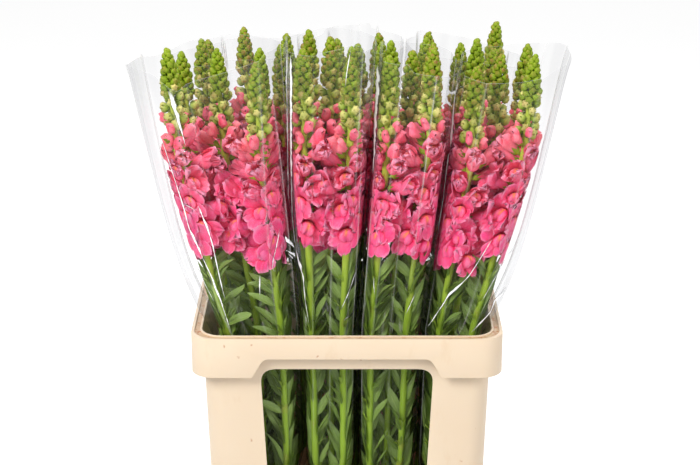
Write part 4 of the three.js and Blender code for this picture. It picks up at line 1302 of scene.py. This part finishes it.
def buildContainer():
    top, wall, shoulder, inset = [box[key] for key in ("height", "wall", "shoulder", "shoulderInset")]
    rim, low, skin = box["rim"], box["rimBottom"], box["skirt"]
    body = loftBlock("container_body", box["body"], [(0, box["baseInset"]), (shoulder, inset), (top, 0)])
    skirt = loftBlock("rim_skirt", rim, [(low, 0), (top, 0)])
    combine(skirt, loftBlock("channel", rim, [(low - 1, skin), (top - skin, skin)]), "DIFFERENCE")
    combine(skirt, barBlock("relief", reliefProfile(), rim[1] + 5), "DIFFERENCE")
    combine(body, skirt, "UNION")
    floorInset = mix(box["baseInset"], inset, box["floor"] / shoulder)
    hollow = [(box["floor"], floorInset + wall), (shoulder, inset + wall), (top + 1, wall)]
    combine(body, loftBlock("hollow", box["body"], hollow), "DIFFERENCE")
    combine(body, barBlock("windows", windowProfile(), rim[1]), "DIFFERENCE")
    near, far, deep = box["groove"]
    groove = loftBlock("groove", rim, [(top - deep, near), (top + 2, near)])
    combine(groove, loftBlock("groove_core", rim, [(top - deep - 1, far), (top + 3, far)]), "DIFFERENCE")
    combine(body, groove, "DIFFERENCE")
    softenEdges(body)
    return body


plasticLook = {
    "cream": (0.735, 0.585, 0.425), "pale": (0.79, 0.665, 0.50), "stain": (0.42, 0.16, 0.045),
    "smear": (0.66, 0.47, 0.29), "channel": (0.53, 0.345, 0.185),
    "rough": (0.4, 0.52), "gloss": 0.5, "relief": (0.12, 0.0006),
    "soft": 0.08, "depth": (0.006, 0.004, 0.002), "blotches": 9.0, "specks": 90.0, "spots": 75.0,
}


def plasticMaterial():
    material, tree, shader = startMaterial("cream plastic")
    look = plasticLook
    geometry = tree.nodes.new("ShaderNodeNewGeometry").outputs
    spot, height = geometry["Position"], partsOf(tree, geometry["Position"])[2]
    level = rangeNode(tree, partsOf(tree, geometry["Normal"])[2], 0.8, 0.97)
    blotch = useGroup(tree, mottle, Vector=spot, Scale=look["blotches"])
    speck = noiseNode(tree, stretched(tree, spot, (1.0, 1.0, 3.0)), look["specks"], 3.0, 0.65)
    above = times(tree, rangeNode(tree, height, 0.4396, 0.4400), level)
    grime = times(tree, above, rangeNode(tree, height, 0.4412, 0.4418, 1.0, 0.0))  # in the rim's groove
    flecks = times(tree, rangeNode(tree, speck, 0.55, 0.64), grime)
    spots = rangeNode(tree, noiseNode(tree, spot, look["spots"]), 0.735, 0.78, 0.0, 0.6)
    worn = noiseNode(tree, stretched(tree, spot, (26.0, 26.0, 9.0)), 1.0, 5.0, 0.7)
    body = washed(tree, look["cream"],
                  (times(tree, blotch["Mask"], 0.35), look["pale"]),
                  (rangeNode(tree, worn, 0.57, 0.76, 0.0, 0.5), look["smear"]),
                  (times(tree, grime, 0.85), look["channel"]),
                  (mathNode(tree, "MAXIMUM", flecks, spots), look["stain"]))
    dress(tree, shader, look, body, blotch["Fine"], blotch["Fine"])
    return material


container = buildContainer()
container.data.materials.clear()
container.data.materials.append(plasticMaterial())
settle(container, "moulded_plastic", "container")
print("stage 6: the container stands,", trianglesOf(container), "triangles")


waterLook = {"deep": (0.70, 0.79, 0.70), "light": (0.80, 0.86, 0.78), "clear": 0.85, "bend": 1.33,
             "rough": (0.02, 0.07), "gloss": 0.5, "relief": (0.25, 0.002), "blotches": 24.0}


def waterMaterial():
    material, tree, shader = startMaterial("vase water")
    blotch = useGroup(tree, mottle, Vector=spotOf(tree), Scale=waterLook["blotches"])
    body = mixColour(tree, blotch["Mask"], waterLook["deep"], waterLook["light"])
    dress(tree, shader, waterLook, body, blotch["Fine"], blotch["Mask"])
    feedAll(tree, shader, {"IOR": waterLook["bend"], "Transmission Weight": waterLook["clear"]})
    return material


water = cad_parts["water"]
water.data.materials.clear()
water.data.materials.append(waterMaterial())
print("stage 7: water is in")

# floor, light and camera
studio = {
    "floor": (14.0, -14.0, 14.0), "glow": 0.72, "lens": 90, "camera": (0.004, -2.242, 1.300), "tilt": 71.2,
    "sky": 0.48, "exposure": 0.0,
    "grey": (0.42, 0.44), "dim": 0.25,
    "lights": [  # name, place, aim, width, height and power
        ("key", (-1.5, -1.9, 2.35), (0, 0, 0.6), 1.4, 1.1, 77),
        ("fill", (2.1, -1.7, 1.6), (0, 0, 0.6), 1.4, 1.8, 26),
        ("overhead", (0.1, 0.2, 2.7), (0, 0, 0.5), 1.8, 1.8, 40),
        ("behind", (0.3, 2.4, 1.7), (0, 0, 0.7), 2.6, 1.4, 26),
    ],
}


def floorMaterial():  # it glows a little, and less for the light that it throws on the part
    material, tree, shader = startMaterial("studio floor")
    soft = noiseNode(tree, spotOf(tree), 1.3)
    body = mixColour(tree, soft, *[(grey, grey, grey) for grey in studio["grey"]])
    ray = tree.nodes.new("ShaderNodeLightPath").outputs["Is Diffuse Ray"]
    glow = rangeNode(tree, ray, 0, 1, studio["glow"], studio["glow"] * studio["dim"])
    feedAll(tree, shader, {"Base Color": body, "Emission Color": (1, 1, 1), "Emission Strength": glow,
                           "Roughness": 0.9, "Specular IOR Level": 0.1})
    return material


half, near, far = studio["floor"]
corners = np.array([(-half, near, 0), (half, near, 0), (half, far, 0), (-half, far, 0)])
ground = meshFrom("studio_floor", corners * 1000, [[0, 1, 2, 3]])
ground.data.materials.append(floorMaterial())

for name, place, aim, wide, tall, power in studio["lights"]:
    data = bpy.data.lights.new(name, "AREA")
    data.shape, data.size, data.size_y, data.energy = "RECTANGLE", wide, tall, power
    made = bpy.data.objects.new(name, data)
    made.location = place
    made.rotation_euler = (Vector(aim) - Vector(place)).to_track_quat("-Z", "Y").to_euler()
    bpy.context.scene.collection.objects.link(made)

world = bpy.data.worlds.new("studio sky")
world.use_nodes = True
world.node_tree.nodes["Background"].inputs["Color"].default_value = (1, 1, 1, 1)
world.node_tree.nodes["Background"].inputs["Strength"].default_value = studio["sky"]
bpy.context.scene.world = world

lens = bpy.data.cameras.new("camera")
lens.lens, lens.sensor_width, lens.sensor_fit = studio["lens"], 36, "HORIZONTAL"
eye = bpy.data.objects.new("camera", lens)
eye.location = studio["camera"]
eye.rotation_euler = (math.radians(studio["tilt"]), 0, 0)
bpy.context.scene.collection.objects.link(eye)
bpy.context.scene.camera = eye
bpy.context.scene.view_settings.view_transform = "Standard"
bpy.context.scene.view_settings.exposure = studio["exposure"]
bpy.context.scene.cycles.transparent_max_bounces = 24
bpy.context.scene.cycles.max_bounces = 8
print("stage 8: studio is lit")
